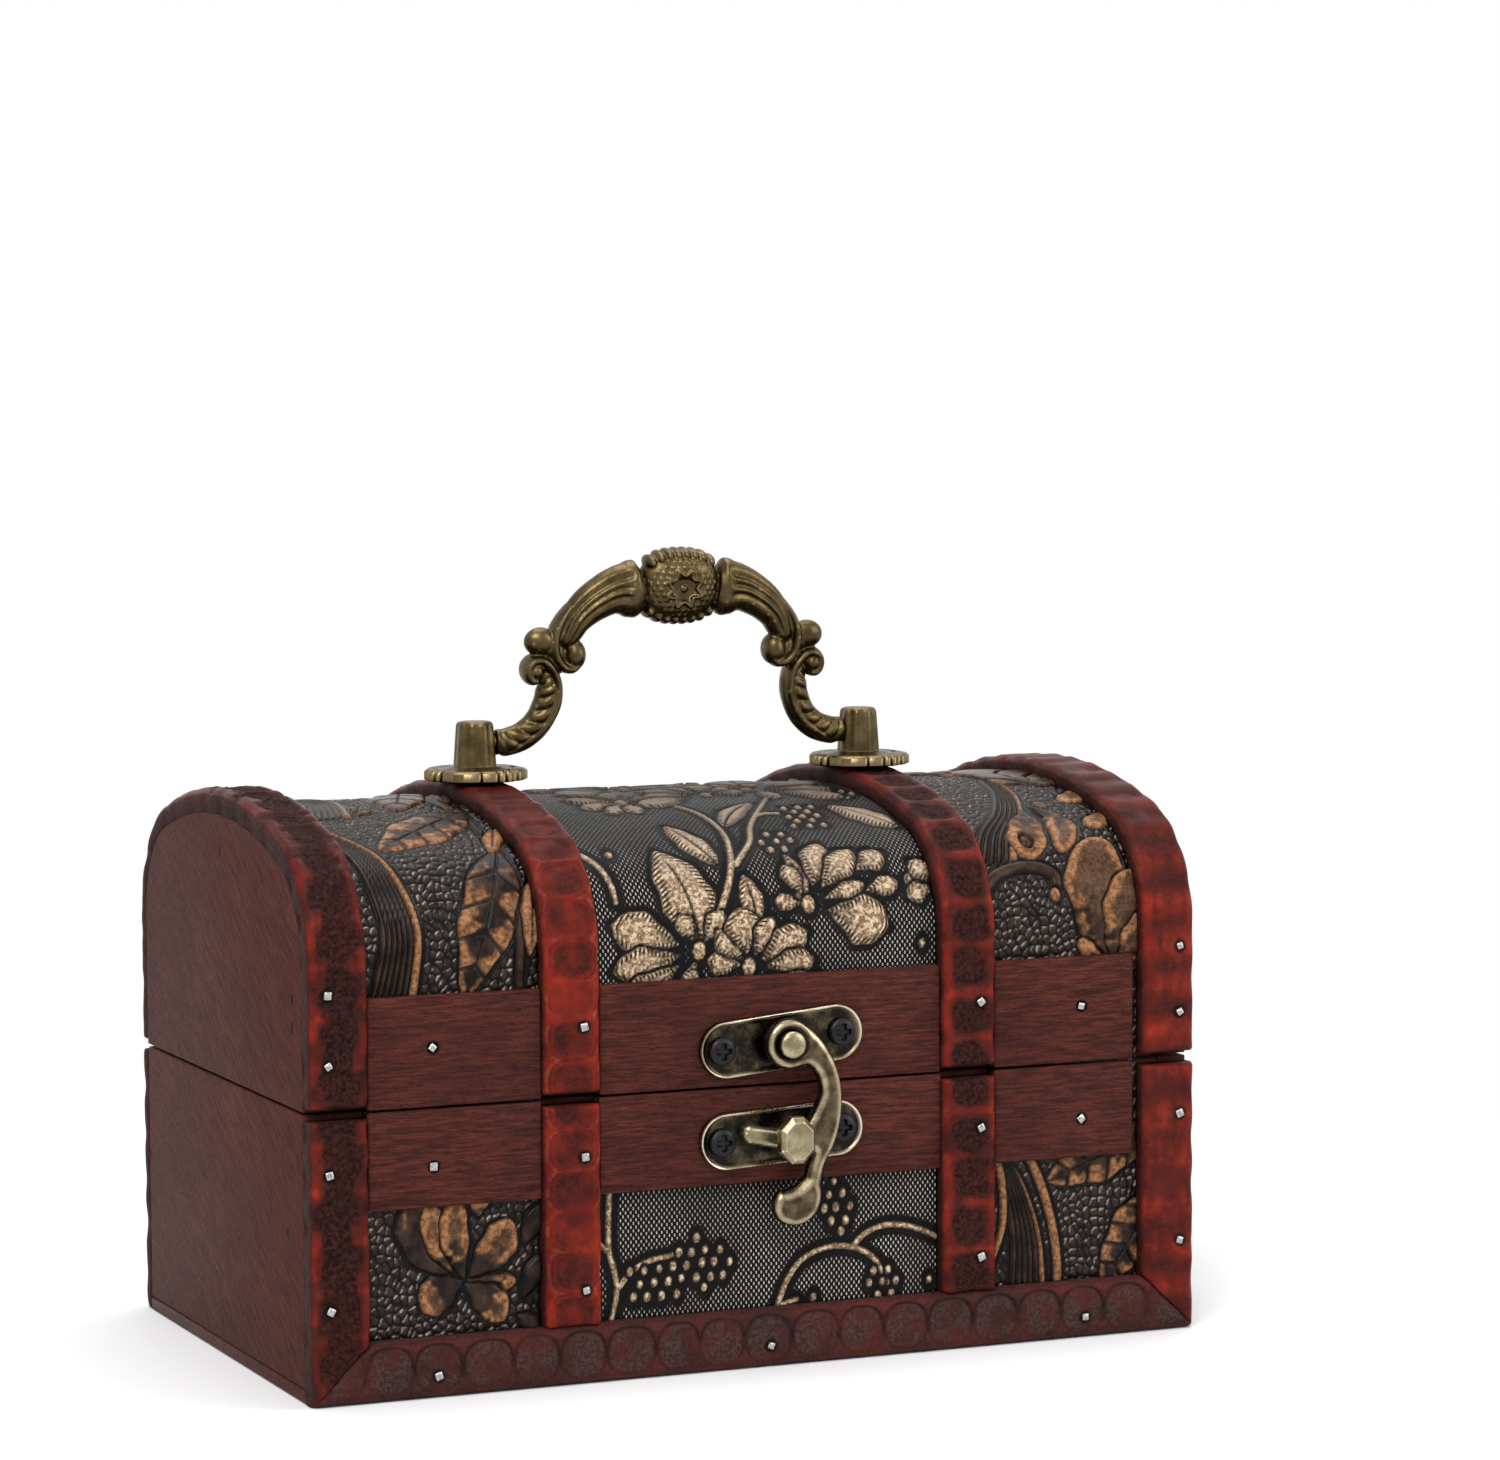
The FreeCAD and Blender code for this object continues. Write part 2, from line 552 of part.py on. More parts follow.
def plate_screw_places(plate):
    """Across and up, for the two screws on a plate's tilted middle line."""
    height, tilt = PLATES[plate]
    reach = "plate_screw_spacing / 2"
    return [(f"clasp_shift {side} {reach} * cos({tilt})", f"{height} {side} {reach} * sin({tilt})")
            for side in "-+"]


def make_clasp_screws():
    face = f"{FRONT_RAIL} - plate_thick"
    for plate in PLATES:
        label = f"{plate}_screws"
        pieces = [screw(f"{label}_{count}", "clasp", "clasp_screw_length", 90, x=x, y=face, z=z)
                  for count, (x, z) in enumerate(plate_screw_places(plate))]
        node(label, group(label, pieces))


def make_hinge_screws():
    for label, side in (("hinge_lid_screws", "+"), ("hinge_base_screws", "-")):
        pieces = [screw(f"{label}_{name}_{count}", "hinge", "hinge_screw_length", -90,
                        x=f"{middle} {edge} hinge_screw_spacing / 2", y=f"{BACK_RAIL} + hinge_leaf_thick",
                        z=f"{HINGE_Z} {side} {LEAF_SCREW_REACH}")
                  for name, middle in HINGES.items() for count, edge in enumerate("-+")]
        node(label, group(label, pieces))


def make_handle_screws():
    """Each runs from inside the lid through the top, the strap and the rosette into its post."""
    length = "handle_head_gap + top_thick + strap_thick + rosette_thick + handle_screw_bite"
    pieces = [screw(f"handle_screw_{name}", "handle", length, 180, x=middle, y="-handle_setback",
                    z="box_height - strap_thick - top_thick - handle_head_gap")
              for name, middle in HANDLES.items()]
    node("handle_screws", group("handle_screws", pieces))


# Base
def make_base_boards():
    inside = (f"{LEFT} + end_thick", f"{RIGHT} - end_thick")
    depth = (FRONT_BOARD, BACK_BOARD)
    height = ("bottom_thick", BASE_RIM)
    node("base_bottom_panel", box("base_bottom_panel", (LEFT, RIGHT), depth, ("0", "bottom_thick")))
    ends = [("base_left_end", (LEFT, inside[0])), ("base_right_end", (inside[1], RIGHT))]
    for label, x in ends:
        cut(label, box(label, x, depth, height), [nodes["base_brads"]])
    front = box("base_front_panel", inside, (FRONT_BOARD, f"{FRONT_BOARD} + board_thick"), height)
    cut("base_front_panel", front, [nodes["base_brads"], nodes["catch_screws"]])
    back = box("base_back_panel", inside, (f"{BACK_BOARD} - board_thick", BACK_BOARD), height)
    cut("base_back_panel", back, [nodes["base_brads"], nodes["hinge_base_screws"]])


def upright_strip(name, corners, side, long_axis):
    """A flat strip on the front (side -1) or back board, its two long outer edges bevelled."""
    body = new_body(name)
    block = pad(body, polygon_sketch(body, "XZ_Plane", corners), "strap_thick", backwards=side > 0)
    outer = side * number("strap_thick")
    short_axis = "X" if long_axis == "Z" else "Z"
    bevelled(body, block, "strap_bevel",
             lambda edge: span(edge, long_axis) > number("strap_bevel")
             and span(edge, short_axis) < number("strap_bevel")
             and abs(edge.BoundBox.YMin - outer) < number("strap_thick") / 2)
    return place(body, y=FRONT_BOARD if side < 0 else BACK_BOARD)


def make_base_strips():
    brads = [nodes["base_brads"]]
    inner_left, inner_right = BAYS["left"][0], BAYS["right"][1]
    top = BASE_STRAP_END
    mitre = "bottom_strip_height"
    left = [(LEFT, "0"), (inner_left, mitre), (inner_left, top), (LEFT, top)]
    right = [(RIGHT, "0"), (RIGHT, top), (inner_right, top), (inner_right, mitre)]
    foot = [(LEFT, "0"), (RIGHT, "0"), (inner_right, mitre), (inner_left, mitre)]
    cut("base_front_strip_left", upright_strip("base_front_strip_left", left, -1, "Z"), brads)
    cut("base_front_strip_right", upright_strip("base_front_strip_right", right, -1, "Z"), brads)
    cut("base_bottom_strip", upright_strip("base_bottom_strip", foot, -1, "X"), brads)
    for strap in ("mid_left", "mid_right"):
        low, high = f"{STRAPS[strap]} - strap_width / 2", f"{STRAPS[strap]} + strap_width / 2"
        corners = [(low, mitre), (high, mitre), (high, top), (low, top)]
        label = f"base_strap_{strap}"
        cut(label, upright_strip(label, corners, -1, "Z"), brads)
    for name, low, high in (("left", LEFT, inner_left), ("right", inner_right, RIGHT)):
        corners = [(low, "0"), (high, "0"), (high, top), (low, top)]
        label = f"base_back_strip_{name}"
        cut(label, upright_strip(label, corners, 1, "Z"), brads)


def rail_span(bay):
    low, high = BAYS[bay]
    return low, f"{high} - right_rail_gap" if bay == "right" else high


def make_base_coverings():
    fixings = [nodes["base_brads"], nodes["catch_screws"]]
    for bay, x in BAYS.items():
        label = f"base_leather_{bay}"
        cut(label, box(label, x, (FRONT_LEATHER, FRONT_BOARD), ("bottom_strip_height", BASE_RIM)), fixings)
        label = f"base_front_rail_{bay}"
        height = (f"{BASE_RIM} - base_rail_height", BASE_RIM)
        cut(label, box(label, rail_span(bay), (FRONT_RAIL, FRONT_LEATHER), height), fixings)
    x = (BAYS["left"][0], BAYS["right"][1])
    height = (f"{BASE_RIM} - base_rail_height", BASE_RIM)
    cut("base_back_rail", box("base_back_rail", x, (BACK_BOARD, BACK_RAIL), height),
        [nodes["base_brads"], nodes["hinge_base_screws"]])


# Lid
def arch_panel(name, inset, foot, length, hollow=None):
    """A panel in the shape of the lid's arch, or a bent sheet if a hollow is given by its own inset."""
    body = new_body(name)
    pad(body, arch_sketch(body, inset, foot), length)
    if hollow:
        pocket(body, arch_sketch(body, hollow, f"{foot} - overrun"))
    return body


def make_lid_boards():
    brads = nodes["lid_brads"]
    for label, x in (("lid_left_end", LEFT), ("lid_right_end", f"{RIGHT} - end_thick")):
        panel = arch_panel(label, "strap_thick", LID_RIM, "end_thick")
        cut(label, place(panel, x=x), [brads])
    inside = (f"{LEFT} + end_thick", f"{RIGHT} - end_thick")
    height = (LID_RIM, LID_BOARD_TOP)
    front = box("lid_front_board", inside, (FRONT_BOARD, f"{FRONT_BOARD} + board_thick"), height)
    cut("lid_front_board", front, [brads, nodes["clasp_screws"]])
    back = box("lid_back_board", inside, (f"{BACK_BOARD} - board_thick", BACK_BOARD), height)
    cut("lid_back_board", back, [brads, nodes["hinge_lid_screws"]])
    top = arch_panel("lid_top_panel", "strap_thick", LID_BOARD_TOP, "box_length - 2 * end_thick",
                     "strap_thick + top_thick")
    cut("lid_top_panel", place(top, x=f"{LEFT} + end_thick"), [brads] + screw_holes("top"))


def screw_holes(name):
    """The clear holes for the handle's screws."""
    return [prism(f"{name}_hole_{side}", SHANK_SIDES, "handle_screw_radius + screw_clearance",
                  "top_thick + strap_thick + rosette_thick + 2 * overrun", x=middle, y="-handle_setback",
                  z="box_height - strap_thick - top_thick - overrun")
            for side, middle in HANDLES.items()]


def make_lid_straps():
    for strap, middle in STRAPS.items():
        label = f"lid_strap_{strap}"
        body = new_body(label)
        pad(body, arch_sketch(body, "0", LID_STRAP_END), "strap_width")
        pocket(body, arch_sketch(body, "strap_thick", f"{LID_STRAP_END} - overrun"))
        tools = [nodes["lid_brads"]]
        if strap in ("mid_left", "mid_right"):
            tools += screw_holes(label)
        cut(label, place(body, x=f"{middle} - strap_width / 2"), tools)


def make_lid_coverings():
    fixings = [nodes["lid_brads"], nodes["clasp_screws"]]
    for bay, (low, high) in BAYS.items():
        label = f"lid_leather_{bay}"
        sheet_body = arch_panel(label, "strap_thick - leather_thick", LID_RIM, f"({high}) - ({low})",
                                "strap_thick")
        behind = box(f"{label}_end", (f"{low} - overrun", f"{high} + overrun"), ("0", f"{BACK} + overrun"),
                     (f"{LID_RIM} - overrun", f"{LID_RIM} + lid_rail_height"))
        cut(label, place(sheet_body, x=low), [behind] + fixings)
        height = (LID_RIM, f"{LID_RIM} + lid_rail_height")
        label = f"lid_front_rail_{bay}"
        cut(label, box(label, rail_span(bay), (FRONT_RAIL, FRONT_LEATHER), height), fixings)
        label = f"lid_back_rail_{bay}"
        cut(label, box(label, (low, high), (BACK_BOARD, BACK_RAIL), height),
            [nodes["lid_brads"], nodes["hinge_lid_screws"]])


# Clasp
def clasp_plate(plate, boss):
    """A round-ended plate on the rails, with its screw holes and, on the lid, a raised middle."""
    height, tilt = PLATES[plate]
    name = f"{plate}_plate"
    body = new_body(name)
    pad(body, stadium_sketch(body, "XZ_Plane", "plate_length", "plate_width"), "plate_thick")
    middle_hole = "post_neck_radius"
    if boss:
        boss_sketch = stadium_sketch(body, "XZ_Plane", "boss_length", "boss_width")
        pad(body, boss_sketch, "plate_thick + boss_height")
        middle_hole = "rivet_radius"
    pocket(body, circle_sketch(body, "XZ_Plane", [("0", "0", middle_hole)]))
    place(body, x="clasp_shift", y=FRONT_RAIL, z=height,
          axis=FreeCAD.Vector(0, 1, 0), degrees=-number(tilt))
    holes = [prism(f"{name}_hole_{count}", SHANK_SIDES, "clasp_screw_radius + screw_clearance",
                   "plate_thick + 2 * overrun", x=x, y=f"{FRONT_RAIL} + overrun", z=z,
                   axis=FreeCAD.Vector(1, 0, 0), degrees=90)
             for count, (x, z) in enumerate(plate_screw_places(plate))]
    return cut(name, body, holes)


def make_rivet():
    """Headed over the hook, with its shank in the plate."""
    body = new_body("clasp_rivet")
    reach = "plate_thick + boss_height + face_clearance + hook_thick + face_clearance"
    top = f"{reach} + rivet_head_height"
    revolution(body, [("0", "0"), ("rivet_radius", "0"), ("rivet_radius", reach), ("rivet_head_radius", reach),
                      ("rivet_radius", top), ("0", top)])
    node("clasp_rivet", place(body, x="clasp_shift", y=FRONT_RAIL, z=RIVET_HEIGHT,
                              axis=FreeCAD.Vector(1, 0, 0), degrees=90))


def make_hook():
    """A swing hook: an eye on the rivet, a bowed arm, a finger under the post's neck and a thumb piece."""
    reach, eye = number("hook_arm_reach"), number("hook_eye_radius")
    drop = number(f"{RIVET_HEIGHT} - {POST_HEIGHT}")
    thumb_drop = number("hook_thumb_drop")
    notch = number("post_neck_radius + neck_clearance")
    at = {name: FreeCAD.Vector(side * reach, -down * drop) for name, (side, down) in HOOK_SHARES.items()}
    at |= {name: FreeCAD.Vector(side * reach, -drop - down * thumb_drop)
           for name, (side, down) in THUMB_SHARES.items()}

    def on_eye(degrees):
        return FreeCAD.Vector(eye * math.cos(math.radians(degrees)), eye * math.sin(math.radians(degrees)))

    def on_notch(degrees):
        turn = math.radians(degrees)
        return FreeCAD.Vector(notch * math.cos(turn), notch * math.sin(turn) - drop)

    outline = [
        (on_eye(-70), on_eye(180), on_eye(48)),
        (on_eye(48), at["bow_top"], at["bow_side"]),
        (at["bow_side"], at["bow_low"], at["heel"]),
        (at["heel"], at["heel_mid"], at["outer_start"]),
        (at["outer_start"], at["outer_mid"], at["bottom"]),
        (at["bottom"], at["inner_mid"], at["inner_end"]),
        (at["inner_end"], at["bend"], at["neck_low"]),
        (at["neck_low"], at["neck_mid"], at["finger_root"]),
        (at["finger_root"], at["finger_tip"]),
        (at["finger_tip"], on_notch(-105)),
        (on_notch(-105), on_notch(-50), on_notch(5)),
        (on_notch(5), at["throat_low"], at["throat_side"]),
        (at["throat_side"], at["throat_top"], at["throat_end"]),
        (at["throat_end"], on_eye(-70)),
    ]
    body = new_body("clasp_hook")
    sketch = flat_sketch(body, "XZ_Plane")
    for points in outline:
        sketch.addGeometry(Part.Arc(*points) if len(points) == 3 else Part.LineSegment(*points), False)
    pad(body, sketch, "hook_thick")
    pocket(body, circle_sketch(body, "XZ_Plane", [("0", "0", "rivet_radius + pivot_clearance")]))
    node("clasp_hook", place(body, x="clasp_shift", z=RIVET_HEIGHT,
                             y=f"{FRONT_RAIL} - plate_thick - boss_height - face_clearance"))


def make_catch_post():
    """A neck that the hook's finger holds, its broad head, and the short bar beside it on the plate."""
    hook_front = "plate_thick + boss_height + face_clearance + hook_thick + knob_clearance"
    neck = rod("catch_neck", "post_neck_radius", hook_front, x="clasp_shift", y=FRONT_RAIL, z=POST_HEIGHT,
               axis=FreeCAD.Vector(1, 0, 0), degrees=90)
    body = new_body("catch_knob")
    wide, tall = "knob_width / 2", "knob_height / 2"
    inner_wide, inner_tall = "(knob_width / 2 - knob_corner)", "(knob_height / 2 - knob_corner)"
    knob = pad(body, polygon_sketch(body, "XZ_Plane", [
        (f"-{inner_wide}", f"-{tall}"), (inner_wide, f"-{tall}"),
        (wide, f"-{inner_tall}"), (wide, inner_tall),
        (inner_wide, tall), (f"-{inner_wide}", tall),
        (f"-{wide}", inner_tall), (f"-{wide}", f"-{inner_tall}")]), "knob_thick")
    front = -number("knob_thick")
    bevelled(body, knob, "knob_bevel",
             lambda edge: span(edge, "Y") < number("knob_bevel")
             and abs(edge.BoundBox.YMin - front) < number("knob_bevel"))
    place(body, x="clasp_shift", y=f"{FRONT_RAIL} - ({hook_front})", z=POST_HEIGHT)
    tail = new_body("catch_tail")
    pad(tail, stadium_sketch(tail, "XZ_Plane", "tail_length", "tail_width"), "tail_thick")
    place(tail, x="clasp_shift - tail_length / 2 + tail_width / 4", y=f"{FRONT_RAIL} - plate_thick",
          z=POST_HEIGHT)
    node("catch_post", fused("catch_post", [neck, body, tail]))


# Hinges
def hinge_leaf(label, middle, side, knuckles):
    """A leaf on the back rails, its knuckles rolled round the pin; side is + for the lid and - for the base."""
    ends = (f"({middle} - hinge_length / 2)", f"({middle} + hinge_length / 2)")
    near = f"({HINGE_Z} {side} (hinge_barrel_radius + knuckle_gap))"
    far = f"({HINGE_Z} {side} hinge_leaf_height)"
    faces = (BACK_RAIL, f"{BACK_RAIL} + hinge_leaf_thick")
    pieces = [box(f"{label}_plate", ends, faces, (near, far) if side == "+" else (far, near))]
    for count, (low, high) in enumerate(knuckles):
        x = (f"{ends[0]} + {low}", f"{ends[0]} + {high}")
        tongue = (HINGE_Z, near) if side == "+" else (near, HINGE_Z)
        pieces.append(box(f"{label}_tongue_{count}", x, faces, tongue))
        pieces.append(prism(f"{label}_knuckle_{count}", KNUCKLE_SIDES, "hinge_barrel_radius",
                            f"({x[1]}) - ({x[0]})", x=x[0], y=HINGE_Y, z=HINGE_Z,
                            axis=FreeCAD.Vector(0, 1, 0), degrees=90))
    clearance = "pivot_clearance" if side == "+" else "pivot_clearance / 2"
    tools = [rod(f"{label}_bore", f"hinge_pin_radius + {clearance}", f"hinge_length + 2 * overrun",
                 x=f"{ends[0]} - overrun", y=HINGE_Y, z=HINGE_Z, axis=FreeCAD.Vector(0, 1, 0), degrees=90)]
    for count, edge in enumerate("-+"):
        tools.append(prism(f"{label}_hole_{count}", SHANK_SIDES, "hinge_screw_radius + screw_clearance",
                           "hinge_leaf_thick + 2 * overrun", x=f"{middle} {edge} hinge_screw_spacing / 2",
                           y=f"{BACK_RAIL} - overrun", z=f"{HINGE_Z} {side} {LEAF_SCREW_REACH}",
                           axis=FreeCAD.Vector(1, 0, 0), degrees=-90))
    cut(label, fused(f"{label}_metal", pieces), tools)


def make_hinges():
    third = f"hinge_length / 3"
    lid_knuckles = [(f"{third} + knuckle_gap", f"2 * {third} - knuckle_gap")]
    base_knuckles = [("0", third), (f"2 * {third}", "hinge_length")]
    pins = []
    for name, middle in HINGES.items():
        hinge_leaf(f"hinge_lid_leaf_{name}", middle, "+", lid_knuckles)
        hinge_leaf(f"hinge_base_leaf_{name}", middle, "-", base_knuckles)
        pins.append(rod(f"hinge_pin_{name}", "hinge_pin_radius", "hinge_length",
                        x=f"{middle} - hinge_length / 2", y=HINGE_Y, z=HINGE_Z,
                        axis=FreeCAD.Vector(0, 1, 0), degrees=90))
    node("hinge_pins", group("hinge_pins", pins))


# Handle
def faceted(rings):
    """A closed solid of flat facets through rings of points, each ring with as many points as the next."""
    faces = [Part.Face(Part.makePolygon(ring + ring[:1])) for ring in (rings[0], rings[-1])]
    for lower, upper in zip(rings, rings[1:]):
        for index in range(len(lower)):
            after = (index + 1) % len(lower)
            for third, fourth in ((lower[after], upper[after]), (upper[after], upper[index])):
                corners = [lower[index], third, fourth, lower[index]]
                faces.append(Part.Face(Part.makePolygon(corners)))
    solid = Part.Solid(Part.Shell(faces))
    if solid.Volume < 0:
        solid.reverse()
    return solid


def ring(centre, first, second, radii):
    """Points round a centre, spread evenly from the first direction towards the second."""
    turn = 2 * math.pi / len(radii)
    return [centre + first * (radius * math.cos(index * turn)) + second * (radius * math.sin(index * turn))
            for index, radius in enumerate(radii)]


def lobed(radius, depth, count):
    """Radii that alternate between the tops of ribs and the dips between them."""
    return [radius, radius - depth] * count


def upright_ring(height, radii):
    return ring(FreeCAD.Vector(0, 0, height), FreeCAD.Vector(1, 0, 0), FreeCAD.Vector(0, 1, 0), radii)


def make_rosettes():
    """Each is a notched disc, pinched between its post and the strap."""
    radius, thick = number("rosette_radius"), number("rosette_thick")
    bevel, notch = number("rosette_bevel"), number("rosette_notch_depth")
    rim = [radius if index % 4 in (0, 1) else radius - notch for index in range(ROSETTE_NOTCHES * 4)]
    for name, middle in HANDLES.items():
        label = f"handle_rosette_{name}"
        disc = doc.addObject("Part::Feature", f"{label}_disc")
        disc.Shape = faceted([upright_ring(0, rim), upright_ring(thick - bevel, rim),
                              upright_ring(thick, [value - bevel for value in rim])])
        place(disc, x=middle, y="-handle_setback", z="box_height")
        cut(label, disc, [prism(f"{label}_hole", SHANK_SIDES, "handle_screw_radius + screw_clearance",
                                "rosette_thick + 2 * overrun", x=middle, y="-handle_setback",
                                z="box_height - overrun")])


def make_posts():
    """Each is a fluted, tapering column with a screw hole up the middle and a socket for the bail's pin."""
    foot, head, tall = number("post_foot_radius"), number("post_head_radius"), number("post_height")
    bevel, depth = number("post_bevel"), number("post_flute_depth")
    for name, middle in HANDLES.items():
        label = f"handle_post_{name}"
        column = doc.addObject("Part::Feature", f"{label}_column")
        column.Shape = faceted([upright_ring(0, lobed(foot, depth, POST_FLUTES)),
                                upright_ring(tall - bevel, lobed(head, depth, POST_FLUTES)),
                                upright_ring(tall, lobed(head - bevel, depth, POST_FLUTES))])
        place(column, x=middle, y="-handle_setback", z=ROSETTE_TOP)
        bore = prism(f"{label}_bore", SHANK_SIDES, "handle_screw_radius + screw_clearance / 2",
                     "post_bore_depth + overrun", x=middle, y="-handle_setback",
                     z=f"{ROSETTE_TOP} - overrun")
        side, turn = ("+", 90) if name == "left" else ("-", -90)
        socket = rod(f"{label}_socket", "pivot_radius + pivot_clearance",
                     "pivot_depth + face_clearance + overrun",
                     x=f"{middle} {side} ({PIN_END} - face_clearance)", y="-handle_setback", z=PIVOT_Z,
                     axis=FreeCAD.Vector(0, 1, 0), degrees=turn)
        cut(label, column, [bore, socket])


def make_bail():
    """A cast bail: legs that turn up from the posts, scrolls, fluted arms and a beaded medallion."""
    half = number("strap_spacing / 2")
    rise, elbow = number("bail_rise"), number("bail_elbow_reach")
    leg, bend = number("bail_leg_radius"), number("bail_bend_radius")
    trumpet, thick = number("trumpet_height"), number("medallion_thick")
    shoulder = half - number("post_foot_radius + shoulder_gap")
    lengthways, across, upwards = FreeCAD.Vector(1, 0, 0), FreeCAD.Vector(0, 1, 0), FreeCAD.Vector(0, 0, 1)

    def leg_ring(centre, turn):
        """A round section whose path heads inward at 0 and straight up at 90 degrees."""
        outward = lengthways * math.sin(math.radians(turn)) + upwards * math.cos(math.radians(turn))
        return ring(centre, outward, across, [leg] * LEG_SIDES)

    def leg_solid():
        rings = [leg_ring(FreeCAD.Vector(shoulder, 0, 0), 0)]
        for turn in LEG_TURNS:
            angle = math.radians(turn)
            centre = FreeCAD.Vector(elbow + bend - bend * math.sin(angle), 0, bend - bend * math.cos(angle))
            rings.append(leg_ring(centre, turn))
        rings.append(leg_ring(FreeCAD.Vector(elbow, 0, rise * SCROLL_SHARES[0][1]), 90))
        return faceted(rings)

    def pin_solid():
        inner = half - number(PIN_END)
        start = FreeCAD.Vector(shoulder - leg, 0, 0)
        return Part.makeCylinder(number("pivot_radius"), inner - shoulder + leg, start, lengthways)

    def arm_ring(reach_share, height_share, width_share, heading):
        turn = math.radians(heading)
        outward = lengthways * math.cos(turn) + upwards * math.sin(turn)
        centre = FreeCAD.Vector(elbow * reach_share, 0, rise * height_share)
        radii = lobed(trumpet * width_share / 2, number("flute_depth") * width_share, ARM_FLUTES)
        return ring(centre, outward, across * ARM_DEPTH_SHARE, radii)

    def bar_solid():
        end = elbow * ARM_SHARES[-2][0]
        radii = [trumpet * BAR_SHARE / 2] * LEG_SIDES
        return faceted([ring(FreeCAD.Vector(x, 0, rise), upwards, across * ARM_DEPTH_SHARE, radii)
                        for x in (-end, end)])

    def scroll_solid(reach_share, height_share, radius_share):
        centre = FreeCAD.Vector(elbow * reach_share, 0, rise * height_share)
        radius = leg * radius_share
        return faceted([ring(centre + across * (leg * place_share), lengthways, upwards,
                             [radius * ring_share] * SCROLL_SIDES)
                        for place_share, ring_share in SCROLL_RING_SHARES])

    def medallion_solid():
        rim = lobed(number("medallion_radius"), number("bead_depth"), MEDALLION_BEAD_COUNT)
        return faceted([ring(FreeCAD.Vector(0, thick / 2 * place_share, rise), lengthways, upwards,
                             [radius * ring_share for radius in rim])
                        for place_share, ring_share in MEDALLION_RING_SHARES])

    arm = faceted([arm_ring(*share) for share in ARM_SHARES])
    right = [leg_solid(), pin_solid(), arm] + [scroll_solid(*share) for share in SCROLL_SHARES]
    left = [piece.mirror(FreeCAD.Vector(), lengthways) for piece in right]
    bail = doc.addObject("Part::Feature", "handle_bail")
    bail.Shape = medallion_solid().multiFuse([bar_solid()] + right + left)
    turned = FreeCAD.Rotation(lengthways, number("bail_lean"))
    middle = FreeCAD.Vector(number("strap_shift"), -number("handle_setback"), number(PIVOT_Z))
    bail.Placement = FreeCAD.Placement(middle, turned)
    node("handle_bail", bail)


make_brads()
make_clasp_screws()
make_hinge_screws()
make_handle_screws()
make_base_boards()
make_base_strips()
make_base_coverings()
make_lid_boards()
make_lid_straps()
make_lid_coverings()
clasp_plate("clasp", True)
clasp_plate("catch", False)
make_rivet()
make_hook()
make_catch_post()
make_hinges()
make_rosettes()
make_posts()
make_bail()
doc.recompute()

failed = [thing.Label for thing in doc.Objects if {"Invalid", "Error"} & set(thing.State)]
failed += [label for label, thing in nodes.items() if thing.Shape.isNull() or not thing.Shape.isValid()]
if failed:
    raise SystemExit(f"these did not build: {failed}")
os.makedirs("parts", exist_ok=True)
for label, thing in nodes.items():
    thing.Shape.exportStep(f"parts/{label}.step")
    print(f"{label}: {len(thing.Shape.Solids)} solid(s), {thing.Shape.Volume:.1f} cubic mm")
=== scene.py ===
"""The looks of a small wooden treasure chest: embossed leather, carved straps, stained wood and cast brass.

Lengths are in millimetres until a mesh is made. X runs along the chest, the front faces -Y and Z is up.
"""
import json
import math

import bpy
import numpy as np
from mathutils import Matrix, Vector
from mathutils.kdtree import KDTree

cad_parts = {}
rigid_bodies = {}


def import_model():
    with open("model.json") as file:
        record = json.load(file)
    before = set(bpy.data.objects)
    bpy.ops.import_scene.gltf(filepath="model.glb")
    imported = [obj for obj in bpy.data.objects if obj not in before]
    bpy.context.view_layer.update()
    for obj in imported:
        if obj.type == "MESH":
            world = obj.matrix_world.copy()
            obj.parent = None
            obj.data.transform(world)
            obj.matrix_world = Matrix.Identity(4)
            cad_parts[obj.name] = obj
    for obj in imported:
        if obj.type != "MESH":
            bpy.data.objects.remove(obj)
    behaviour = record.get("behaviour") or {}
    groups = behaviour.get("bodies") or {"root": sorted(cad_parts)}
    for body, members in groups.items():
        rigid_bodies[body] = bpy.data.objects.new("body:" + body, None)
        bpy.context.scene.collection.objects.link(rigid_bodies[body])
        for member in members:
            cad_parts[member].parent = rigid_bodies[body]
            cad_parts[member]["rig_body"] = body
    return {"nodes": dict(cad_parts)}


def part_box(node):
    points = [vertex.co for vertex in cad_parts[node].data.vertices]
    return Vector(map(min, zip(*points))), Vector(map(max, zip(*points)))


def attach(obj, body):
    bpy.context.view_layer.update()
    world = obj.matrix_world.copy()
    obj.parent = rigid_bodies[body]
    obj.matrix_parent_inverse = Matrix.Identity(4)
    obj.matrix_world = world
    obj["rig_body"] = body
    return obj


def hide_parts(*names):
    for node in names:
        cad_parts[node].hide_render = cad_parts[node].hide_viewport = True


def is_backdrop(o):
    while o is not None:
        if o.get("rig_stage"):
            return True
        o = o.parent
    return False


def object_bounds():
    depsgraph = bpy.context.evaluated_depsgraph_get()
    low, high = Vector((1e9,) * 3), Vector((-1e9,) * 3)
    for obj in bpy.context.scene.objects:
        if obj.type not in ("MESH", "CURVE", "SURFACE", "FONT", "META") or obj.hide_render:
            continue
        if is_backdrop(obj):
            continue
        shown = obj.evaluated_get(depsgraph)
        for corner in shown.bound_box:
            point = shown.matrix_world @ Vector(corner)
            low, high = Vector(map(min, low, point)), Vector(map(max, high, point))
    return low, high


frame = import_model()
cad_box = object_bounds()
nodes = frame["nodes"]
MM = 0.001
FULL_TURN = 2 * math.pi

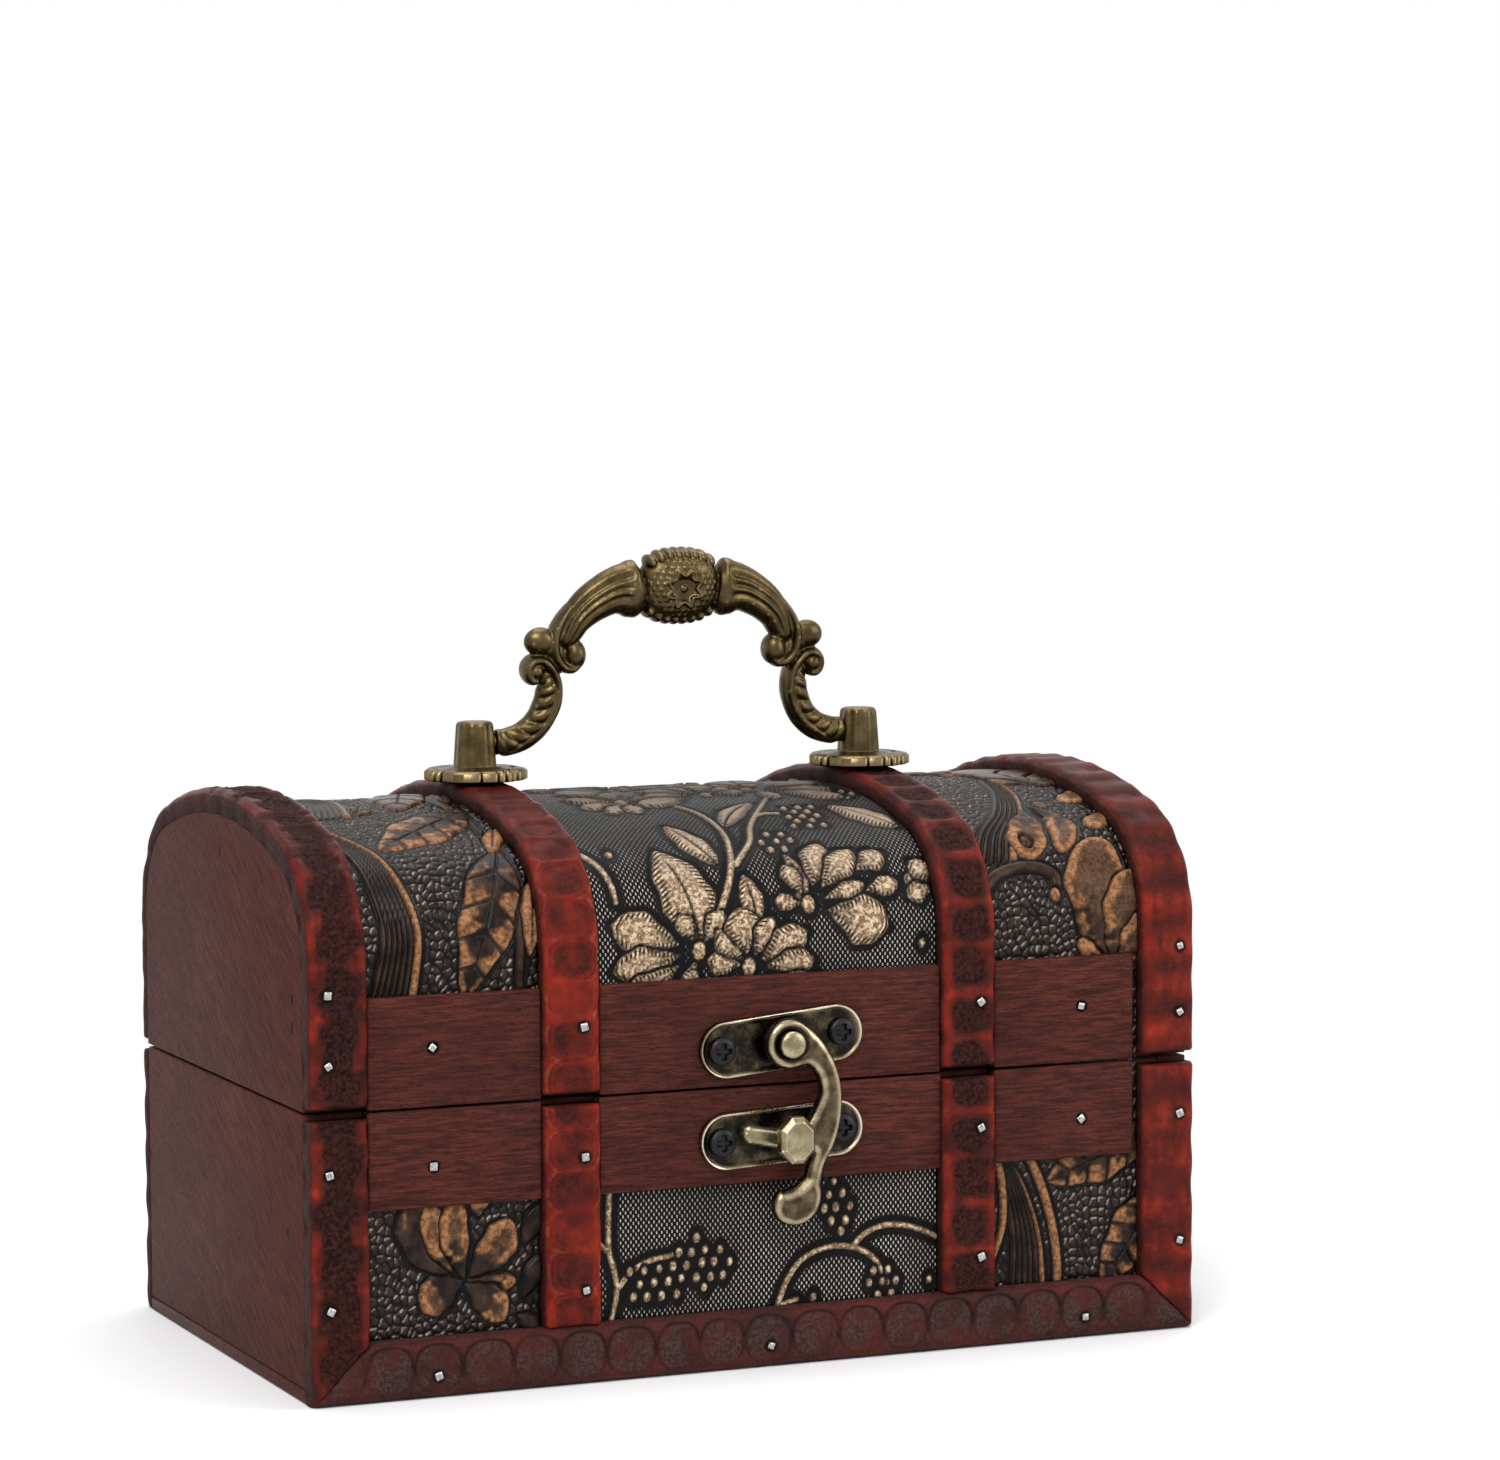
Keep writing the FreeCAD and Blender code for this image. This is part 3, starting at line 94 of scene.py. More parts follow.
# The chest's sizes, as the solids have them
HALF_LENGTH, HALF_DEPTH = 75.0, 45.0
SHOULDER_Y, SHOULDER_Z, SHOULDER_RADIUS = 25.0, 66.0, 20.0
CROWN_Z, CROWN_RADIUS = -10.0, 100.0
CROWN_START = math.atan2(SHOULDER_Z - CROWN_Z, -SHOULDER_Y)
BASE_RIM, LID_RIM = 44.0, 44.4
STRAP_WIDTH, STRAP_THICK, STRAP_END_GAP = 9.5, 4.0, 0.8
STRAP_X = {"left_end": -70.25, "mid_left": -32.7, "mid_right": 34.7, "right_end": 70.25}
BAYS = {"left": (-65.5, -37.45), "center": (-27.95, 29.95), "right": (39.45, 65.5)}
STRIP_HEIGHT = 9.0
LEATHER_INSET, LEATHER_THICK = 3.0, 1.0
LID_RAIL_TOP, BASE_RAIL_FOOT = 61.4, 29.0
CLASP_X, RIVET_Z, POST_Z = 2.3, 51.0, 36.3
RAIL_FACE_Y, PLATE_THICK = -43.5, 1.0
PLATE_LENGTH, PLATE_WIDTH, PLATE_SCREW_SPACING = 27.6, 9.0, 20.4
CLASP_TILT, CATCH_TILT = math.radians(5.3), math.radians(3.1)
HANDLE_X, HANDLE_Y, PIVOT_Z = 1.0, -2.2, 95.8
HANDLE_HALF, BAIL_RISE, BAIL_LEAN = 33.7, 24.9, math.radians(8.0)
CHEST_TOP, ROSETTE_TOP = 90.0, 92.2
FRONT, BACK, DOWN = (0, -1, 0), (0, 1, 0), (0, 0, -1)


# Small sums
def smooth(low, high, value):
    """0 below low, 1 above high, and a soft step between; low may be the larger."""
    share = np.clip((np.asarray(value, float) - low) / (high - low), 0, 1)
    return share * share * (3 - 2 * share)


def hump(value, middle, width):
    """1 at the middle, falling off softly on both sides."""
    return np.exp(-((value - middle) / width) ** 2)


def circle(count):
    """Angles evenly round a full turn."""
    return np.arange(count) * FULL_TURN / count


def stack(*axes):
    """Points from their coordinates, any of which may be one number."""
    return np.stack(np.broadcast_arrays(*axes), -1)


def signed_power(value, power):
    return np.sign(value) * abs(value) ** power


def lattice(count, seed):
    return np.random.default_rng(seed).random((count, count))


def value_noise(u, v, cell, seed):
    """Soft noise between 0 and 1 whose lumps are about one cell across."""
    table = lattice(64, seed)
    column, row = u / cell, v / cell
    left, low = np.floor(column).astype(int), np.floor(row).astype(int)
    across, up = smooth(0, 1, column - left), smooth(0, 1, row - low)
    corner = lambda i, j: table[(left + i) % 64, (low + j) % 64]
    bottom = corner(0, 0) * (1 - across) + corner(1, 0) * across
    top = corner(0, 1) * (1 - across) + corner(1, 1) * across
    return bottom * (1 - up) + top * up


def pebbles(u, v, cell, seed):
    """How far a place is from the crease between its two nearest points of a jittered grid."""
    shifts = [lattice(64, seed), lattice(64, seed + 1)]
    column, row = np.floor(u / cell).astype(int), np.floor(v / cell).astype(int)
    first = np.full(u.shape, 1e9)
    second = first.copy()
    for i in (-1, 0, 1):
        for j in (-1, 0, 1):
            at = ((column + i) % 64, (row + j) % 64)
            gap = np.hypot((column + i + 0.1 + 0.8 * shifts[0][at]) * cell - u,
                           (row + j + 0.1 + 0.8 * shifts[1][at]) * cell - v)
            second = np.minimum(second, np.maximum(first, gap))
            first = np.minimum(first, gap)
    return (second - first) / cell


def curve_through(points, steps=10):
    """A smooth line through points, each with any number of values."""
    points = np.array(points, float)
    padded = np.vstack([2 * points[0] - points[1], points, 2 * points[-1] - points[-2]])
    share = np.linspace(0, 1, steps, endpoint=False)[:, None]
    runs = []
    for before, start, end, after in zip(padded, padded[1:], padded[2:], padded[3:]):
        runs.append(0.5 * (2 * start + (end - before) * share
                           + (2 * before - 5 * start + 4 * end - after) * share ** 2
                           + (3 * start - before - 3 * end + after) * share ** 3))
    return np.vstack(runs + [points[-1:]])


def arch_ends(inset, start):
    """The lengths along the lid's section at which its front, shoulder, crown and other shoulder end."""
    shoulder = (SHOULDER_RADIUS - inset) * (math.pi - CROWN_START)
    crown = (CROWN_RADIUS - inset) * (2 * CROWN_START - math.pi)
    return np.cumsum([SHOULDER_Z - start, shoulder, crown, shoulder])


def arch_length(inset, start):
    return arch_ends(inset, start)[-1] + SHOULDER_Z - start


def arch(length, inset, start):
    """Points and outward directions along the lid's section, by length from a height on the front."""
    ends = arch_ends(inset, start)
    angle = np.interp(length, ends, [math.pi, CROWN_START, math.pi - CROWN_START, 0])
    front, crown = length < ends[1], (length >= ends[1]) & (length < ends[2])
    radius = np.where(crown, CROWN_RADIUS, SHOULDER_RADIUS) - inset
    centre_y = np.select([front, crown], [-SHOULDER_Y, 0], SHOULDER_Y)
    drop = np.maximum(ends[0] - length, 0) + np.maximum(length - ends[3], 0)
    centre_z = np.where(crown, CROWN_Z, SHOULDER_Z) - drop
    out_y, out_z = np.cos(angle), np.sin(angle)
    return centre_y + radius * out_y, centre_z + radius * out_z, out_y, out_z


# Meshes
def put_values(mesh, values):
    """Numbers or vectors on a mesh's points, by name."""
    for key, numbers in values.items():
        numbers = np.asarray(numbers, np.float32)
        vector = numbers.ndim > 1 and numbers.shape[-1] == 3
        layer = mesh.attributes.new(key, "FLOAT_VECTOR" if vector else "FLOAT", "POINT")
        layer.data.foreach_set("vector" if vector else "value", numbers.ravel())


def shade_smooth(mesh, sharp=None):
    mesh.polygons.foreach_set("use_smooth", np.ones(len(mesh.polygons), bool))
    if sharp:
        mesh.set_sharp_from_angle(angle=math.radians(sharp))


def add_object(name, content):
    made = bpy.data.objects.new(name, content)
    bpy.context.scene.collection.objects.link(made)
    return made


def make_mesh(name, points, faces, values=None, sharp=None):
    """An object from points in millimetres, with values on its points."""
    mesh = bpy.data.meshes.new(name)
    mesh.from_pydata((np.asarray(points) * MM).tolist(), [], faces)
    put_values(mesh, values or {})
    shade_smooth(mesh, sharp)
    mesh.update()
    return add_object(name, mesh)


def ring_faces(rings):
    """Faces through rows of closed rings with both ends capped, turned to look outwards."""
    rows, columns = rings.shape[:2]
    points = rings.reshape(-1, 3) - rings.reshape(-1, 3).mean(0)
    low = np.arange(rows - 1)[:, None] * columns + np.arange(columns)
    after = np.arange(rows - 1)[:, None] * columns + (np.arange(columns) + 1) % columns
    sides = np.stack([low, after, after + columns, low + columns], -1).reshape(-1, 4)
    caps = np.stack([np.arange(columns - 1, -1, -1), np.arange(columns) + (rows - 1) * columns])
    volume = 0.0
    for group in (sides, caps):
        corner = points[group]
        for index in range(1, group.shape[1] - 1):
            cross = np.cross(corner[:, index], corner[:, index + 1])
            volume += np.einsum("ij,ij->i", corner[:, 0], cross).sum()
    way = 1 if volume > 0 else -1
    return sides[:, ::way].tolist() + caps[:, ::way].tolist()


def loft(node, parts, values=None, sharp=None):
    """A node's piece from closed shells, each given as rings of points, shaped rows by points by 3."""
    points, faces, first = [], [], 0
    for rings in parts:
        rings = np.asarray(rings, float)
        faces += [[index + first for index in face] for face in ring_faces(rings)]
        points.append(rings.reshape(-1, 3))
        first += len(points[-1])
    return make_mesh(f"{node}_look", np.vstack(points), faces, values, sharp)


def add_modifier(piece, kind, **settings):
    modifier = piece.modifiers.new(kind.lower(), kind)
    for key, value in settings.items():
        setattr(modifier, key, value)


def settle(piece):
    """Applies a piece's modifiers."""
    graph = bpy.context.evaluated_depsgraph_get()
    mesh = bpy.data.meshes.new_from_object(piece.evaluated_get(graph))
    piece.modifiers.clear()
    piece.data = mesh
    return piece


def dress(piece, material):
    """The piece stands for the node it is named after: it rides where that does and takes its slot."""
    node = piece.name.removesuffix("_look")
    piece.data.materials.clear()
    piece.data.materials.append(material)
    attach(piece, nodes[node]["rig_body"])
    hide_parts(node)


def copy_of(node):
    piece = add_object(f"{node}_look", nodes[node].data.copy())
    add_modifier(piece, "WELD", merge_threshold=0.00001)
    return piece


def softened(node, material, width):
    """The node's own shape with its edges rounded over."""
    piece = copy_of(node)
    add_modifier(piece, "DECIMATE", decimate_type="DISSOLVE", angle_limit=math.radians(1))
    add_modifier(piece, "BEVEL", width=width * MM, segments=2, limit_method="ANGLE",
                 angle_limit=math.radians(35), use_clamp_overlap=True)
    settle(piece)
    shade_smooth(piece.data, 42)
    dress(piece, material)


def cast(piece, voxel, passes, strength=0.5):
    """Fuses a piece's shells and melts its edges, as casting does."""
    add_modifier(piece, "REMESH", mode="VOXEL", voxel_size=voxel * MM, use_smooth_shade=True)
    add_modifier(piece, "SMOOTH", iterations=passes, factor=strength)
    return settle(piece)


# Short ways to add shader nodes; a socket knows the tree that it is in
def feed(socket, value):
    if isinstance(value, bpy.types.NodeSocket):
        socket.id_data.links.new(value, socket)
        return
    colour = isinstance(value, tuple) and len(socket.default_value) == 4
    socket.default_value = (*value, 1) if colour else value


def add(tree, kind, inputs, **settings):
    made = tree.nodes.new(f"ShaderNode{kind}")
    for key, value in settings.items():
        setattr(made, key, value)
    for key, value in inputs.items():
        feed(made.inputs[key], value)
    return made.outputs


def maths(operation, first, second=0.0):
    return add(first.id_data, "Math", {0: first, 1: second}, operation=operation)[0]


def times(first, second):
    return maths("MULTIPLY", first, second)


def vectors(operation, first, second=(0.0, 0.0, 0.0)):
    return add(first.id_data, "VectorMath", {0: first, 1: second}, operation=operation)


def mix(factor, first, second):
    return add(factor.id_data, "Mix", {0: factor, 6: first, 7: second}, data_type="RGBA")[2]


def span(value, low, high, start=0.0, end=1.0):
    """A soft step from start to end while a value goes from low to high."""
    inputs = {0: value, 1: low, 2: high, 3: start, 4: end}
    return add(value.id_data, "MapRange", inputs, interpolation_type="SMOOTHSTEP")[0]


def stripes(value, pitch):
    return maths("COSINE", times(value, FULL_TURN / pitch))


def shades(colour, share, other=(0.0, 0.0, 0.0)):
    return tuple(share * first + (1 - share) * second for first, second in zip(colour, other))


def place(tree, scale=1.0, turn=(0.0, 0.0, 0.0)):
    """The row frame's coordinates in millimetres, times a scale on all axes or on each."""
    scale = scale if isinstance(scale, tuple) else (scale, scale, scale)
    rotated = add(tree, "Mapping", {"Vector": add(tree, "TexCoord", {})["Object"], "Rotation": turn})[0]
    return add(tree, "Mapping", {"Vector": rotated, "Scale": tuple(share / MM for share in scale)})[0]


def noise(tree, scale, detail=3.0, roughness=0.55, turn=(0.0, 0.0, 0.0), zoom=1.0):
    inputs = {"Vector": place(tree, scale, turn), "Scale": zoom, "Detail": detail, "Roughness": roughness}
    return add(tree, "TexNoise", inputs)[0]


def painted(tree, *names):
    """The values that a piece carries on its points."""
    return [add(tree, "Attribute", {}, attribute_name=name)["Fac"] for name in names]


def begin_look(name):
    material = bpy.data.materials.new(name)
    material.use_nodes = True
    return material.node_tree


def finish_look(name, colour, roughness, height, depth, strength, **levels):
    """Joins colour, roughness and bump to a material's surface, and sets what is the same all over it."""
    material = bpy.data.materials[name]
    inputs = {"Height": height, "Distance": depth * MM, "Strength": strength}
    bump = add(material.node_tree, "Bump", inputs)[0]
    surface = material.node_tree.nodes["Principled BSDF"].inputs
    joined = {"Base Color": colour, "Roughness": roughness, "Normal": bump}
    for key, value in {**joined, **levels}.items():
        feed(surface[key.replace("_", " ")], value)
    return material


# Materials
# Dark nail heads on the end boards, and painted shade round the brads on the rails
NAIL_MARK_AND_BRAD_SHADE = (0.004, 0.003, 0.003)


def wood(name, dark, light, pores, scale, turn=(0.0, 0.0, 0.0), rough=0.42, gloss=0.05, marks=(), oval=None):
    """Stained wood; scale gives lumps to the millimetre on each axis, and marks are dark ovals: nail heads
    on the end boards, and painted shade round the brads on the rails.
    """
    tree = begin_look(name)
    streaks = span(noise(tree, scale, 5.0, 0.62, turn), 0.36, 0.66)
    patches = span(noise(tree, 0.05, 2.0), 0.3, 0.75)
    fine = noise(tree, scale, 3.0, 0.7, turn, 4.0)
    pits = span(fine, 0.55, 0.68)
    colour = mix(times(streaks, span(patches, 0.0, 1.0, 0.6, 1.0)), dark, light)
    colour = mix(times(pits, 0.8), colour, pores)
    # Dark ovals: the end boards' nail heads, and painted shade round the brads on the rails
    for middle in marks:
        near = vectors("MULTIPLY", vectors("SUBTRACT", place(tree), middle)[0], oval)[0]
        colour = mix(span(vectors("LENGTH", near)["Value"], 1.0, 0.7), colour, NAIL_MARK_AND_BRAD_SHADE)
    return finish_look(name, colour, span(fine, 0.3, 0.8, rough - 0.06, rough + 0.14),
                       maths("SUBTRACT", times(streaks, 0.5), pits), 0.07, 0.8, Specular_IOR_Level=gloss)


def strap_wood(name, char, ash):
    """Red stain: bright where rubbed by wear, dark and rough where scorched, with dark or rubbed lines cut
    in it; the dark also paints shade on a strap's sides and rounded edges, and the dark lines paint shade
    round the brads.
    """
    tree = begin_look(name)
    burnt, worn, line, rub = painted(tree, "burnt", "worn", "line", "rub")
    patch = span(noise(tree, 0.12, 4.0), 0.36, 0.66)
    grain = noise(tree, 0.8, 5.0, 0.65)
    crust = noise(tree, 1.5, 6.0, 0.75)
    rough = span(grain, 0.3, 0.72)
    plain = mix(patch, (0.032, 0.0075, 0.006), (0.062, 0.0105, 0.0075))
    red = mix(patch, (0.135, 0.0105, 0.0055), (0.26, 0.02, 0.0085))
    colour = mix(times(worn, span(rough, 0.0, 1.0, 0.6, 1.0)), plain, red)
    dark = mix(span(crust, 0.42, 0.6), char, ash)
    # Painted shade: this scorched dark also darkens a strap's side faces and rounded edges
    colour = mix(times(burnt, span(crust, 0.3, 0.75, 1.0, 0.8)), colour, dark)
    # Painted shade: the line colour also paints a dark ring round each brad
    colour = mix(line, colour, (0.008, 0.004, 0.0035))
    colour = mix(times(rub, rough), colour, (0.33, 0.13, 0.075))
    height = times(crust, maths("ADD", times(burnt, 1.6), 0.25))
    return finish_look(name, colour, span(maths("ADD", grain, burnt), 0.3, 1.3, 0.27, 0.6), height, 0.4, 0.9,
                       Specular_IOR_Level=0.06)


WEAVE_PITCH, HATCH_PITCH = (0.86, 1.16), 0.72


def black_leather(name):
    """A black ground with a fine diamond weave, and motifs rubbed with pale gold, duller over the dome."""
    tree = begin_look(name)
    ground, tone, grain, band = painted(tree, "ground", "tone", "grain", "band")
    flat = add(tree, "SeparateXYZ", {0: add(tree, "Attribute", {}, attribute_name="flat")["Vector"]})
    along = span(stripes(flat[1], WEAVE_PITCH[1]), -0.55, 0.55, -1.0, 1.0)
    weave = times(stripes(flat[0], WEAVE_PITCH[0]), along)
    dots = times(times(span(weave, 0.58, 0.84), ground), span(flat[1], 20.0, 48.0, 1.0, 0.25))
    rub = span(noise(tree, 0.09), 0.3, 0.7, 0.5, 1.0)
    speck = noise(tree, 1.6, 4.0, 0.7)
    gold = mix(span(speck, 0.42, 0.62), (0.16, 0.09, 0.046), (0.58, 0.46, 0.315))
    gold = mix(span(flat[1], 24.0, 50.0, 0.0, 0.8), gold, (0.235, 0.175, 0.135))
    hatch = times(band, span(stripes(grain, HATCH_PITCH), -0.25, 0.4))
    gold = mix(hatch, gold, (0.012, 0.009, 0.0075))
    colour = mix(times(dots, rub), (0.005, 0.0048, 0.0048), (0.50, 0.455, 0.39))
    return finish_look(name, mix(tone, colour, gold), span(speck, 0.3, 0.7, 0.34, 0.52),
                       maths("ADD", times(dots, 0.5), times(speck, tone)), 0.12, 0.8,
                       Metallic=times(tone, 0.25), Specular_IOR_Level=0.06)


def brown_leather(name):
    """A dark pebbled ground with a painted highlight on its pebbles' upper left rims, black creases and
    ridges, and motifs rubbed with copper.
    """
    tree = begin_look(name)
    pebble, tone, ridge, glint = painted(tree, "pebble", "tone", "ridge", "glint")
    speck = noise(tree, 1.4, 4.0, 0.7)
    patch = span(noise(tree, 0.3), 0.35, 0.7)
    ground = mix(pebble, (0.0025, 0.002, 0.002), (0.030, 0.0185, 0.0142))
    # Painted highlight: the glint colour on the pebbles' upper left rims
    ground = mix(times(glint, span(speck, 0.3, 0.6)), ground, (0.36, 0.30, 0.26))
    figure = mix(patch, (0.006, 0.0045, 0.004), (0.036, 0.020, 0.0135))
    copper = mix(span(speck, 0.35, 0.65), (0.115, 0.048, 0.021), (0.33, 0.155, 0.066))
    return finish_look(name, mix(tone, mix(ridge, ground, figure), copper), span(speck, 0.3, 0.7, 0.2, 0.36),
                       speck, 0.07, 0.6, Specular_IOR_Level=0.1)


def brass(name, paint, low, high, strength):
    """Cast or pressed brass between two roughnesses; paint makes its colour in its node tree."""
    tree = begin_look(name)
    fine = noise(tree, 2.2, 3.0, 0.6)
    roughness = span(fine, 0.3, 0.75, low, high)
    return finish_look(name, paint(tree), roughness, fine, 0.03, strength, Metallic=1.0)


def antique(dull, bright, sharp):
    """Dark in its hollows and rubbed bright on what stands out."""
    def paint(tree):
        point = add(tree, "NewGeometry", {})["Pointiness"]
        spot = noise(tree, 0.35, 4.0, 0.6)
        base = mix(span(spot, 0.35, 0.7), dull, shades(dull, 0.62, bright))
        hollow = span(point, 1 - sharp[1], 1 - sharp[0], 1.0, 0.0)
        return mix(times(hollow, 0.8), mix(span(point, *sharp), base, bright), shades(dull, 0.18))
    return paint


def plate_paint(tree):
    """Nearly black in its sunk field and bright along its rim."""
    rim, = painted(tree, "rim")
    field = mix(span(noise(tree, 0.3, 4.0, 0.6), 0.4, 0.68), (0.017, 0.015, 0.0125), (0.105, 0.082, 0.046))
    edge = mix(span(noise(tree, 0.1, 2.0), 0.35, 0.6), (0.24, 0.19, 0.11), (0.70, 0.62, 0.45))
    return mix(rim, field, edge)


def hook_paint(tree):
    """A painted highlight along its edges, and dark in the dish round the rivet."""
    rim, dish = painted(tree, "rim", "dish")
    spot = noise(tree, 0.35, 4.0, 0.6)
    base = mix(span(spot, 0.35, 0.68), (0.048, 0.036, 0.020), (0.15, 0.116, 0.067))
    # Painted highlight along the rounded edges of the front
    colour = mix(times(rim, span(spot, 0.3, 0.55, 0.35, 1.0)), base, (0.38, 0.31, 0.20))
    return mix(dish, colour, (0.022, 0.017, 0.011))


def plain_metal(name, colour, metallic, rough, scale, depth):
    fine = noise(begin_look(name), scale, 4.0, 0.65)
    return finish_look(name, mix(span(fine, 0.3, 0.7), shades(colour, 0.6), colour),
                       span(fine, 0.3, 0.7, rough - 0.08, rough + 0.12), fine, depth, 0.6, Metallic=metallic)


END_NAILS = [(-36.7, 61.0), (-36.5, 56.7), (-0.7, 80.4), (39.8, 26.1), (-33.3, 24.8)]
END_MARKS = [(-HALF_LENGTH, *nail) for nail in END_NAILS]
# Painted shade round the brads on the rails: where its dark ovals go
RAIL_BRAD_SHADES = [(side * 55.0, RAIL_FACE_Y, height) for side in (-1, 1) for height in (53.4, 35.2)]
END_WOOD = wood("end_wood_look", (0.046, 0.0130, 0.0102), (0.098, 0.030, 0.0215), (0.012, 0.0054, 0.0048),
                (2.3, 0.24, 2.3), (math.radians(-32), 0.0, 0.0), 0.55, 0.04, END_MARKS, (0.3, 1.9, 0.9))
RAIL_WOOD = wood("rail_wood_look", (0.036, 0.0112, 0.0092), (0.100, 0.0245, 0.0168), (0.012, 0.0048, 0.0044),
                 (0.22, 2.4, 2.4), marks=RAIL_BRAD_SHADES, oval=(0.82, 0.2, 0.82))
BOARD_WOOD = wood("board_wood_look", (0.040, 0.0110, 0.0080), (0.095, 0.026, 0.0165), (0.014, 0.005, 0.0042),
                  (0.09, 0.9, 0.9))
STRAP_WOOD = strap_wood("strap_wood_look", (0.005, 0.0034, 0.0032), (0.046, 0.0165, 0.014))
FOOT_WOOD = strap_wood("foot_wood_look", (0.034, 0.021, 0.0195), (0.094, 0.060, 0.057))
BLACK_LEATHER = black_leather("black_leather_look")
BROWN_LEATHER = brown_leather("brown_leather_look")
ANTIQUE_PAINT = antique((0.062, 0.044, 0.0185), (0.215, 0.157, 0.077), (0.515, 0.60))
KNOB_PAINT = antique((0.22, 0.18, 0.098), (0.74, 0.66, 0.48), (0.502, 0.55))
BRASS = brass("antique_brass_look", ANTIQUE_PAINT, 0.29, 0.46, 0.5)
KNOB_BRASS = brass("knob_brass_look", KNOB_PAINT, 0.27, 0.44, 0.5)
PLATE_BRASS = brass("plate_brass_look", plate_paint, 0.2, 0.36, 0.4)
HOOK_BRASS = brass("hook_brass_look", hook_paint, 0.2, 0.36, 0.4)
BLACK_STEEL = plain_metal("black_steel_look", (0.016, 0.016, 0.017), 0.7, 0.38, 1.5, 0.02)
BRIGHT_STEEL = plain_metal("bright_steel_look", (0.50, 0.49, 0.47), 1.0, 0.30, 1.8, 0.14)


# Embossed leather
EDGE = 0.13
# How deep and how wide the moats round the motifs are
MIDDLE_MOAT, SIDE_MOAT = (0.14, 1.6), (0.22, 0.9)


